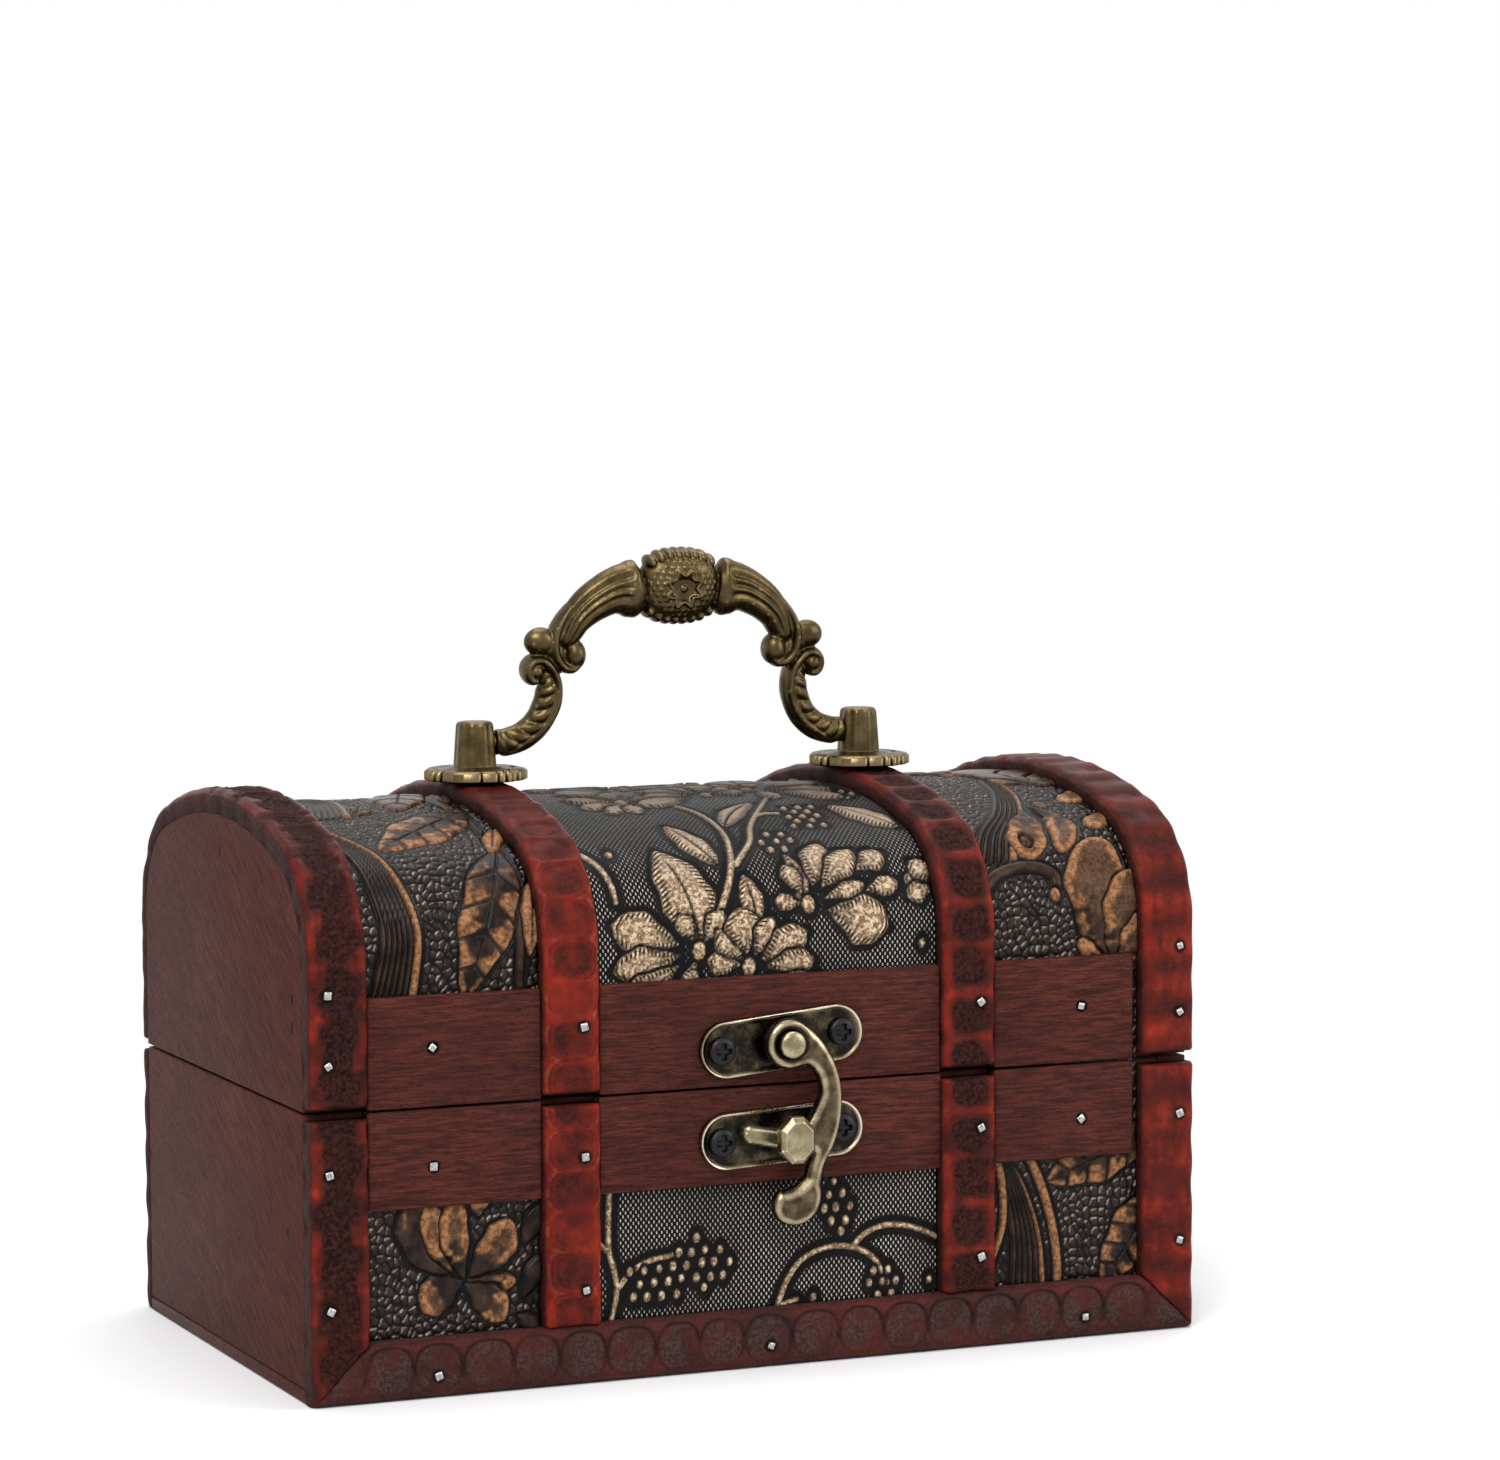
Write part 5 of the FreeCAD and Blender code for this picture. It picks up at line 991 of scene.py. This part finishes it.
def upright_strip(node, name, low, seed, face=-1, mitre=0):
    """A strip up the front or back; mitre is the side, -1 or 1, that its slanting foot is longest on."""
    high = BASE_RIM - STRAP_END_GAP
    rows = np.linspace(0, 1, int((high - low) / STRAP_ROW))
    share, across = np.meshgrid(rows, ACROSS * STRAP_WIDTH / 2, indexing="ij")
    foot = low + STRIP_HEIGHT * (0.5 - mitre * across / STRAP_WIDTH) * abs(mitre)
    height = foot + (high - foot) * share
    x = STRAP_X[name] + across * wavy(height, seed)
    to_end = (high - foot) * np.minimum(share, 1 - share)
    strap(node, height, across, seed, STRAP_WIDTH, STYLES[name], to_end,
          lambda depth: (x, face * (HALF_DEPTH - depth), height))


def foot_strip(node, seed):
    """The strip along the foot of the front, mitred at both ends."""
    rows = np.linspace(-1, 1, int(2 * HALF_LENGTH / STRAP_ROW))
    share, across = np.meshgrid(rows, ACROSS * STRIP_HEIGHT / 2, indexing="ij")
    reach = HALF_LENGTH - STRAP_WIDTH * (0.5 + across / STRIP_HEIGHT)
    along = share * reach
    strap(node, along, across, seed, STRIP_HEIGHT, "octagon", reach - abs(along),
          lambda depth: (along, depth - HALF_DEPTH, STRIP_HEIGHT / 2 + across), look=FOOT_WOOD)


for number, strap_name in enumerate(STRAP_X):
    lid_strap(strap_name, number + 1)
upright_strip("base_front_strip_left", "left_end", 0, 5, mitre=-1)
upright_strip("base_strap_mid_left", "mid_left", STRIP_HEIGHT, 6)
upright_strip("base_strap_mid_right", "mid_right", STRIP_HEIGHT, 7)
upright_strip("base_front_strip_right", "right_end", 0, 8, mitre=1)
upright_strip("base_back_strip_left", "left_end", 0, 9, face=1)
upright_strip("base_back_strip_right", "right_end", 0, 10, face=1)
foot_strip("base_bottom_strip", 4)

# Boards, rails and hinges keep their own shapes, with softened edges
for label in nodes:
    if "rail" in label:
        softened(label, RAIL_WOOD, 0.35)
    elif label.endswith(("_left_end", "_right_end")) and "strap" not in label:
        softened(label, END_WOOD, 0.45)
    elif label.endswith(("_panel", "_board")):
        softened(label, BOARD_WOOD, 0.3)
    elif label.startswith("hinge") and "screws" not in label:
        softened(label, BRASS, 0.12)


# Brads
def brads(node, seed):
    """Square nails, each a little turned, with a dented head."""
    chance = np.random.default_rng(seed)
    parts = []
    for low, high in BRADS[node]:
        x, y, z = (low + high) / 2
        head, way = (low[1], 1) if y < 0 else (high[1], -1)
        turn, half = chance.uniform(-0.7, 0.7), chance.uniform(0.52, 0.66)
        angle = circle(16)
        square = 1 / np.maximum(abs(np.cos(angle)), abs(np.sin(angle))) ** 0.8
        rings = []
        for deep, size in ((-0.06, 0.45), (0.0, 0.8), (0.12, 1.0), (3.0, 0.9)):
            dent = chance.uniform(-0.03, 0.05, 16) if deep < 0.1 else 0
            reach = half * size * square
            rings.append(stack(x + reach * np.cos(angle + turn), head + (deep + 0.06 + dent) * way,
                               z + reach * np.sin(angle + turn)))
        parts.append(rings)
    dress(loft(node, parts, sharp=40), BRIGHT_STEEL)


brads("lid_brads", 31)
brads("base_brads", 32)


# Clasp and screws
SCREW_CROSS = 0.62
# A plate's rows: how far in from its edge, how high and how bright
PLATE_ROWS = [(0, 0, 0), (0, 0.55, 0.2), (0.07, 0.82, 0.9), (0.2, 0.98, 1), (0.36, 0.96, 0.9),
              (0.55, 0.74, 0.2), (0.8, 0.62, 0)]
PLATE_ROWS += [(inset, 0.6, 0) for inset in (1.2, 1.8, 2.6, 3.4, 4.0, 4.4)]
RIVET_PROFILE = [(0, 1.44), (3.4, 1.44), (3.45, 2.1), (3.75, 2.15), (4, 2), (4.18, 1.6), (4.28, 1),
                 (4.3, 0.02)]


def on_plate(along, across, height, tilt):
    """Places on a tilted plate, from its middle along it and across it."""
    return (CLASP_X + along * math.cos(tilt) - across * math.sin(tilt),
            height + along * math.sin(tilt) + across * math.cos(tilt))


def plate(node, height, boss, tilt):
    """A pressed plate with a raised rim, a sunk field and, under the hook, a swelling."""
    angle = circle(120)
    rings, rim = [], []
    for inset, depth, bright in PLATE_ROWS:
        radius = PLATE_WIDTH / 2 - inset
        along = (PLATE_LENGTH - PLATE_WIDTH) / 2 * np.sign(np.cos(angle)) + radius * np.cos(angle)
        across = radius * np.sin(angle)
        swell = np.exp(-np.hypot(along / 5.6, across / 4.6) ** 4)
        lift = np.minimum(depth + (boss * swell if depth > 0.5 else 0), PLATE_THICK + 1.42)
        x, z = on_plate(along, across, height, tilt)
        rings.append(stack(x, RAIL_FACE_Y - lift, z))
        rim.append(bright * (1 - 0.75 * swell * (boss > 0)))
    dress(loft(node, [rings], {"rim": np.array(rim)}, 50), PLATE_BRASS)


def crossways(forth):
    """Two directions square to an axis and to each other."""
    first = np.cross(forth, (1, 0, 0) if abs(forth[0]) < 0.5 else (0, 1, 0))
    return first, np.cross(forth, first)


def turned(centre, forth, profile, count=48):
    """Rings round an axis from pairs of place along it and radius."""
    first, second = crossways(forth)
    angle = circle(count)[:, None]
    spoke = np.cos(angle) * first + np.sin(angle) * second
    return [np.array(centre) + np.array(forth) * along + spoke * radius for along, radius in profile]


def screw_head(centre, forth, radius, tall):
    """A domed head with a cross recess, and the shank behind it."""
    first, second = crossways(forth)
    shank = ((-2.5, 0.45 * radius), (0.0, 0.45 * radius), (0.0, radius), (0.3 * tall, radius))
    rings = turned(centre, forth, shank, 72)
    for share in np.concatenate([np.linspace(0.97, 0.72, 5), np.linspace(0.66, 0.02, 20)]):
        a, b = share * np.cos(circle(72) + 0.5), share * np.sin(circle(72) + 0.5)
        dome = tall * (0.3 + 0.7 * math.sqrt(1 - share ** 2))
        arm = smooth(0.30, 0.16, np.minimum(abs(a), abs(b)) * 1.3)
        arm = arm * smooth(SCREW_CROSS, SCREW_CROSS - 0.1, np.maximum(abs(a), abs(b)))
        rise = np.array(forth) * (dome - 0.62 * tall * arm)[:, None]
        rings.append(np.array(centre) + rise + radius * (a[:, None] * first + b[:, None] * second))
    return rings


def screws(node, centres, forth, radius, tall, look):
    heads = [screw_head(centre, forth, radius, tall) for centre in centres]
    dress(loft(node, heads, sharp=45), look)


for part, height, boss, tilt in (("clasp", RIVET_Z, 1.75, CLASP_TILT), ("catch", POST_Z, 0.0, CATCH_TILT)):
    plate(f"{part}_plate", height, boss, tilt)
    middles = [on_plate(side * PLATE_SCREW_SPACING / 2, 0, height, tilt) for side in (-1, 1)]
    screws(f"{part}_screws", [(x, RAIL_FACE_Y - 0.9, z) for x, z in middles], FRONT, 2.2, 1.05, BLACK_STEEL)
for label in ("hinge_base_screws", "hinge_lid_screws"):
    corners = [((low + high) / 2, high[1]) for low, high in islands(label)]
    screws(label, [(x, head - 0.68, z) for (x, y, z), head in corners], BACK, 1.4, 0.66, BRASS)
corners = [((low + high) / 2, low[2]) for low, high in islands("handle_screws")]
screws("handle_screws", [(x, y, head + 1.58) for (x, y, z), head in corners], DOWN, 2.6, 1.55, BLACK_STEEL)
low, high = (np.array(corner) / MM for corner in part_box("clasp_rivet"))
stretch = (high[1] - low[1]) / RIVET_PROFILE[-1][0]
profile = [(along * stretch, radius) for along, radius in RIVET_PROFILE]
rivet = loft("clasp_rivet", [turned((CLASP_X, high[1], RIVET_Z), FRONT, profile)])
dress(cast(rivet, 0.1, 4), KNOB_BRASS)


def rounded_hook(reach, drop):
    """The hook with its front rounded over towards its outline, and a dish round the rivet."""
    piece = cast(copy_of("clasp_hook"), 0.13, 6)
    points, normals = np.empty((2, 3 * len(piece.data.vertices)))
    piece.data.vertices.foreach_get("co", points)
    piece.data.vertex_normals.foreach_get("vector", normals)
    points = points.reshape(-1, 3) / MM
    front, back = points[:, 1].min(), points[:, 1].max()
    deep = (points[:, 1] - front) / (back - front)
    wall = points[(deep > 0.3) & (deep < 0.7)]
    tree = KDTree(len(wall))
    for index, (x, y, z) in enumerate(wall):
        tree.insert((x, 0, z), index)
    tree.balance()
    gap = np.array([tree.find((x, 0, z))[2] for x, y, z in points])
    share = 1 - np.clip(gap / reach, 0, 1)
    dish = smooth(3.3, 2.7, np.hypot(points[:, 0] - CLASP_X, points[:, 2] - RIVET_Z))
    ahead = smooth(front + 0.5 * (back - front), front + 0.2, points[:, 1])
    points[:, 1] += ahead * (drop * (1 - np.sqrt(1 - share ** 2)) + 0.3 * dish)
    thicker = 0.55 * hump(points[:, 2], 29.5, 2.6)
    points[:, [0, 2]] += thicker[:, None] * normals.reshape(-1, 3)[:, [0, 2]]
    piece.data.vertices.foreach_set("co", (points * MM).ravel())
    # Painted highlight: a bright band along the rounded edge of the hook's front
    rim = ahead * smooth(0.15, 0.45, gap) * smooth(1.3, 0.7, gap)
    put_values(piece.data, {"rim": rim, "dish": ahead * dish})
    add_modifier(piece, "SMOOTH", iterations=4, factor=0.5)
    return settle(piece)


dress(rounded_hook(1.9, 1.0), HOOK_BRASS)


def catch_tail():
    """The bar from the plate to the knob, with rounded edges, a little lower at the knob."""
    angle = circle(48)
    deep, tall = 1.6 * signed_power(np.sin(angle), 0.6), 1.5 * signed_power(np.cos(angle), 0.6)
    rings = []
    for share in np.linspace(0, 1, 24):
        end = math.sqrt(max(1 - (1 - min(share / 0.2, 1)) ** 2, 0.02))
        rings.append(stack(CLASP_X - 7.4 + 7.0 * share, RAIL_FACE_Y - 1.3 + end * deep,
                           POST_Z + 0.9 - 1.5 * share + end * tall))
    return rings


def catch_knob():
    """An eight-sided head, bevelled at the front."""
    wide, tall, corner = 2.9, 3.65, 1.9
    x = np.array([corner - wide, wide - corner, wide, wide, wide - corner, corner - wide, -wide, -wide])
    z = np.array([-tall, -tall, corner - tall, tall - corner, tall, tall, tall - corner, corner - tall])
    rows = ((-48.75, 1.0), (-50.4, 1.0), (-51.15, 0.78), (-51.15, 0.02))
    return [stack(CLASP_X + share * x, y, POST_Z + share * z) for y, share in rows]


neck = turned((CLASP_X, RAIL_FACE_Y, POST_Z), FRONT, [(0, 1.0), (5.6, 1.0)])
dress(cast(loft("catch_post", [catch_knob(), catch_tail(), neck]), 0.11, 8), KNOB_BRASS)

# Handle: rows of height, share of the radius and share of the rim's petals, or of height, radius and flute
ROSETTE_ROWS = [(0, 0.93, 1), (0.25, 1, 1), (1.45, 1, 1), (1.8, 0.95, 1), (1.95, 0.86, 0.8),
                (1.75, 0.75, 0.5), (1.9, 0.6, 0.2), (2.2, 0.52, 0), (2.2, 0.01, 0)]
POST_ROWS = [(0, 3.5, 0.1), (0.3, 3.5, 0.16), (3.5, 3.28, 0.2), (6.3, 3.08, 0.22), (6.75, 2.98, 0.24),
             (7.05, 2.72, 0.2), (7.18, 2.3, 0.05), (7.2, 1.6, 0), (7.2, 0.02, 0)]


def round_foot(side, angle, height, radius):
    x = HANDLE_X + side * HANDLE_HALF
    return stack(x + radius * np.cos(angle), HANDLE_Y + radius * np.sin(angle), height)


def rosette(side):
    """A cast disc with broad petals and bundles of narrow ribs round its rim."""
    angle = circle(336)
    broad = abs(np.sin(angle * 3.5)) ** 0.4
    ribs = np.sqrt(abs(np.sin(angle * 17.5)))
    pick = smooth(0.1, 0.4, np.cos(angle * 3.5 + 0.9))
    rim = 8.38 - 0.75 * (1 - broad) - 0.85 * pick * (1 - ribs)
    return [round_foot(side, angle, CHEST_TOP + height, share * (8.2 * (1 - petal) + rim * petal))
            for height, share, petal in ROSETTE_ROWS]


def handle_post(side):
    """A tapering column with rounded flutes and a soft top."""
    angle = circle(160)
    flute = 0.5 - 0.5 * np.cos(angle * 9)
    return [round_foot(side, angle, ROSETTE_TOP + height, radius - deep * flute)
            for height, radius, deep in POST_ROWS]


for name, side in (("left", -1), ("right", 1)):
    dress(loft(f"handle_rosette_{name}", [rosette(side)], sharp=50), BRASS)
    dress(loft(f"handle_post_{name}", [handle_post(side)], sharp=55), BRASS)

# The bail's tubes: across, height, half width and half depth
ARM = [
    (19.1, 15.4, 0.9, 1.0), (18.95, 16.4, 1.8, 1.8), (18.4, 17.9, 2.35, 2.25), (17.3, 19.95, 2.7, 2.5),
    (15.15, 22.05, 3.15, 2.75), (12.4, 23.7, 3.55, 2.95), (10.6, 24.3, 4.0, 3.15), (9.0, 24.45, 4.55, 3.35),
    (8.0, 24.55, 4.75, 3.4), (7.3, 24.6, 4.45, 3.25), (6.5, 24.7, 3.4, 2.8)]
LEG = [
    (30.45, 0.0, 1.8, 1.8), (30.1, 0.0, 2.15, 2.1), (28.4, 0.05, 2.25, 2.2), (25.6, 1.0, 2.3, 2.25),
    (23.2, 3.1, 2.3, 2.25), (21.8, 6.0, 2.3, 2.25), (21.4, 8.6, 2.2, 2.15), (21.7, 10.2, 1.7, 1.7),
    (21.6, 11.6, 1.2, 1.2), (21.1, 12.8, 0.9, 1.0)]
# The smooth edge of a leg, which curls over outwards, and that of an arm, which curls under inwards
LEG_SCROLL = [
    (27.0, -1.2, 0.6, 1.7), (24.2, 0.6, 0.75, 2.1), (21.8, 3.2, 0.8, 2.35), (20.5, 6.0, 0.85, 2.45),
    (20.3, 8.6, 0.85, 2.45), (20.7, 10.5, 0.85, 2.4), (21.7, 12.2, 0.85, 2.35), (23.1, 13.35, 0.85, 2.3),
    (24.6, 13.35, 0.85, 2.25), (25.5, 12.3, 0.85, 2.2), (25.5, 11.0, 0.85, 2.15), (24.8, 10.1, 0.8, 2.1),
    (23.9, 10.1, 0.7, 2.0)]
ARM_SCROLL = [
    (18.6, 22.0, 0.5, 1.6), (20.0, 20.0, 0.7, 1.9), (20.95, 18.0, 0.78, 2.15), (21.2, 15.9, 0.8, 2.3),
    (20.8, 13.9, 0.85, 2.35), (19.6, 12.3, 0.9, 2.35), (18.1, 11.9, 0.9, 2.3), (17.0, 12.5, 0.7, 2.1)]
# Balls at each elbow: across, height, and half sizes across, up and out
ELBOW_BALLS = [
    (23.3, 16.3, 2.75, 2.35, 1.95), (22.0, 15.3, 1.9, 1.7, 1.6), (24.2, 11.6, 1.5, 1.65, 2.35),
    (23.6, 12.4, 1.7, 1.6, 1.6), (17.45, 14.0, 1.95, 2.6, 2.45), (20.6, 13.4, 1.9, 2.8, 1.35)]
PIN_ENDS, PIN_RADIUS = (29.0, 31.6), 1.28
MEDALLION_HALF = (6.9, 5.6, 3.5)
LOBES = 8
STAR_REACH, STAR_NOTCH, STAR_POINTS, STAR_DISH = 3.3, 2.05, 8, 0.6


def bail_place(across, height, deep):
    """Points in the frame from the bail's own: across, up its plane, and out of its front."""
    lean, rise = math.sin(BAIL_LEAN), math.cos(BAIL_LEAN)
    y, z = HANDLE_Y - lean * height - rise * deep, PIVOT_Z + rise * height - lean * deep
    return stack(HANDLE_X + across, y, z)


def bail_tube(path, count, shape=None):
    """Rings along a path; shape gives how far each point is drawn in."""
    path = np.asarray(path, float)
    step = np.gradient(path[:, :2], axis=0)
    step /= np.linalg.norm(step, axis=1)[:, None] + 1e-9
    angle = circle(count)
    drawn = shape(np.linspace(0, 1, len(path))[:, None], angle) if shape else 1
    wide, deep = path[:, 2:3] * np.cos(angle) * drawn, path[:, 3:4] * np.sin(angle) * drawn
    return bail_place(path[:, :1] - step[:, 1:2] * wide, path[:, 1:2] + step[:, :1] * wide, deep)


def bail_ball(across, height, deep, wide, tall, thick, count=28):
    """Rings of an oval ball."""
    turn = np.linspace(0.03, math.pi - 0.03, count // 2)[:, None]
    x, y = np.sin(turn) * np.cos(circle(count)), np.sin(turn) * np.sin(circle(count))
    return bail_place(across + wide * x, height + tall * y, deep + thick * np.cos(turn))


def fluted(share, angle):
    """Channels along the front and back of an arm, which end before its collar."""
    across = np.cos(angle)
    channels = sum(hump(across, middle, 0.12) for middle in (-0.6, -0.22, 0.18))
    return 1 - 0.2 * channels * smooth(0.04, 0.2, share) * smooth(0.8, 0.62, share + 0.06 * across)


def roped(share, angle):
    """Slanting ribs round the outer side of a leg, and a smooth band on its inner edge."""
    across = np.cos(angle)
    band = 0.15 + 1.05 * smooth(0.34, 0.1, share)
    ribs = abs(np.sin(math.pi * (share * 11.0 - 0.6 * across))) ** 0.6
    outer = smooth(band + 0.1, band - 0.1, across) * smooth(0.0, 0.06, share) * smooth(1.0, 0.9, share)
    outer = outer * smooth(-0.98, -0.7, across)
    seam = hump(across, band, 0.09) * smooth(0.05, 0.3, share)
    return 1 - 0.24 * (1 - ribs) * outer - 0.13 * seam - 0.03 * outer


def medallion_face(x, y):
    """How far out the medallion's face is at a place."""
    share = math.hypot(x / MEDALLION_HALF[0], y / MEDALLION_HALF[1])
    return MEDALLION_HALF[2] * math.sqrt(max(1 - share ** 2.6, 0.02))


def medallion():
    """A rounded boss with lobes over its top and foot, and a star on a dotted ground on each face."""
    wide, tall, deep = MEDALLION_HALF
    turn, angle = np.linspace(0.01, math.pi - 0.01, 120)[:, None], circle(80)
    body = np.sin(turn) ** 0.6
    dish = np.sign(np.cos(turn)) * STAR_DISH * smooth(2.7 / wide, 1.7 / wide, body)
    across, height = (body * signed_power(share, 0.8) for share in (np.cos(angle), np.sin(angle)))
    parts = [bail_place(wide * across, BAIL_RISE + tall * height, deep * np.cos(turn) - dish)]
    for share in np.linspace(-0.74, 0.74, LOBES):
        y = 0.92 * tall * (1 - abs(share) ** 2.5) ** 0.4
        parts += [bail_ball(share * wide, BAIL_RISE + way * y, 0, 0.95, 1.2, 2.5, 20) for way in (-1, 1)]
    corners = []
    for corner in range(2 * STAR_POINTS):
        reach, way = STAR_REACH if corner % 2 else STAR_NOTCH, math.pi * corner / STAR_POINTS
        corners.append((reach * math.sin(way), BAIL_RISE + reach * math.cos(way), 0.24, 0.42))
    for front in (1, -1):
        for row in range(-5, 6):
            for column in range(-6, 7):
                x, y = column + 0.5 * (row % 2), row * 0.87
                if math.hypot(x, y) > STAR_REACH and (x / 5.9) ** 2 + (y / 4.5) ** 2 < 1:
                    out = front * medallion_face(x, y)
                    parts.append(bail_ball(x, BAIL_RISE + y, out, 0.37, 0.37, 0.5, 10))
        lift = bail_place(0, 0, front * medallion_face(2.6, 0)) - bail_place(0, 0, 0)
        parts += [bail_tube(ends, 12) + lift for ends in zip(corners, corners[1:] + corners[:1])]
        parts.append(bail_ball(0, BAIL_RISE, front * (medallion_face(0, 0) - STAR_DISH), 0.6, 0.6, 0.5, 20))
    return parts


def bail():
    parts = medallion()
    tubes = [(ARM, 96, 14, fluted), (LEG, 72, 16, roped)]
    tubes += [(scroll, 32, 8, None) for scroll in (LEG_SCROLL, ARM_SCROLL)]
    mirrored = lambda shape: shape and (lambda share, angle: shape(share, math.pi - angle))
    for side in (-1, 1):
        for path, count, steps, shape in tubes:
            line = curve_through(path, steps) * (side, 1, 1, 1)
            parts.append(bail_tube(line, count, shape if side > 0 else mirrored(shape)))
        for across, height, *half in ELBOW_BALLS:
            parts.append(bail_ball(side * across, height, 0, *half))
        parts.append(bail_tube([(side * end, 0, PIN_RADIUS, PIN_RADIUS) for end in PIN_ENDS], 32))
    return parts


dress(cast(loft("handle_bail", bail()), 0.186, 2, 0.4), BRASS)


# Floor, light and camera, in metres: lamps by place, target height, size and power
FLOOR_HALF, FLOOR_DROP, FLOOR_WHITE = 4.0, 0.0002, (0.1, 0.28)
LAMPS = {"key": ((-0.5, -0.7, 0.9), 0.05, 0.6, 11.0), "fill": ((0.8, -0.6, 0.45), 0.05, 0.6, 4.0),
         "top": ((0.1, 0.2, 1.0), 0.08, 0.7, 6.0)}
CAMERA_PLACE = (-0.3029, -0.7433, 0.1593)
CAMERA_YAW, CAMERA_PITCH, CAMERA_ROLL = math.radians(23.23), math.radians(4.47), math.radians(-0.29)
PHOTO_WIDTH, FOCAL_PIXELS, SENSOR_WIDTH = 1500, 4936.5, 36.0


def seen(tree):
    """1 for rays from the camera, from gloss and through glass."""
    rays = add(tree, "LightPath", {})
    return maths("MAXIMUM", rays["Is Camera Ray"],
                 maths("MAXIMUM", rays["Is Glossy Ray"], rays["Is Transmission Ray"]))


def lay_floor():
    """A pale floor that keeps the shadow and is white further out."""
    corners = np.array([(-1, -1, 0), (1, -1, 0), (1, 1, 0), (-1, 1, 0)]) * FLOOR_HALF / MM
    floor = make_mesh("floor", corners, [[0, 1, 2, 3]])
    floor.location.z = -FLOOR_DROP
    tree = begin_look("floor_look")
    surface = tree.nodes["Principled BSDF"]
    shade = span(noise(tree, 0.002, 2.0), 0.3, 0.7)
    feed(surface.inputs["Base Color"], mix(shade, (0.80, 0.80, 0.80), (0.84, 0.84, 0.84)))
    feed(surface.inputs["Roughness"], 0.9)
    far = vectors("LENGTH", add(tree, "TexCoord", {})["Object"])["Value"]
    white = add(tree, "Emission", {"Color": (1, 1, 1), "Strength": 1.0})[0]
    share = times(seen(tree), span(far, *FLOOR_WHITE))
    blend = add(tree, "MixShader", {0: share, 1: surface.outputs[0], 2: white})[0]
    feed(tree.nodes["Material Output"].inputs["Surface"], blend)
    floor.data.materials.append(bpy.data.materials["floor_look"])
    floor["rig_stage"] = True


def lights():
    """A plain white world and three soft lamps."""
    world = bpy.data.worlds.new("studio")
    bpy.context.scene.world = world
    world.use_nodes = True
    back = world.node_tree.nodes["Background"].inputs
    feed(back["Color"], (1, 1, 1))
    feed(back["Strength"], span(seen(world.node_tree), 0.0, 1.0, 0.55, 1.0))
    for name, (where, target, size, power) in LAMPS.items():
        lamp = bpy.data.lights.new(name, "AREA")
        lamp.shape, lamp.size, lamp.energy = "SQUARE", size, power
        holder = add_object(name, lamp)
        holder.location = where
        holder.rotation_euler = (Vector((0, 0, target)) - Vector(where)).to_track_quat("-Z", "Y").to_euler()


def camera():
    """The photograph's view, fitted to the box's corners."""
    yaw, pitch, roll = CAMERA_YAW, CAMERA_PITCH, CAMERA_ROLL
    forward = Vector((math.sin(yaw) * math.cos(pitch), math.cos(yaw) * math.cos(pitch), -math.sin(pitch)))
    right = Vector((math.cos(yaw), -math.sin(yaw), 0))
    up = right.cross(forward)
    right, up = math.cos(roll) * right + math.sin(roll) * up, math.cos(roll) * up - math.sin(roll) * right
    lens = bpy.data.cameras.new("camera")
    lens.sensor_fit, lens.sensor_width = "HORIZONTAL", SENSOR_WIDTH
    lens.lens = SENSOR_WIDTH * FOCAL_PIXELS / PHOTO_WIDTH
    lens.clip_start, lens.clip_end = 0.01, 50.0
    holder = add_object("camera", lens)
    turn = Matrix((right, up, -forward)).transposed().to_4x4()
    holder.matrix_world = Matrix.Translation(CAMERA_PLACE) @ turn
    bpy.context.scene.camera = holder


lay_floor()
lights()
camera()
bpy.context.scene.view_settings.view_transform = "Standard"

({"cad": [list(corner) for corner in cad_box],
           "visual": [list(corner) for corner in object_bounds()]})
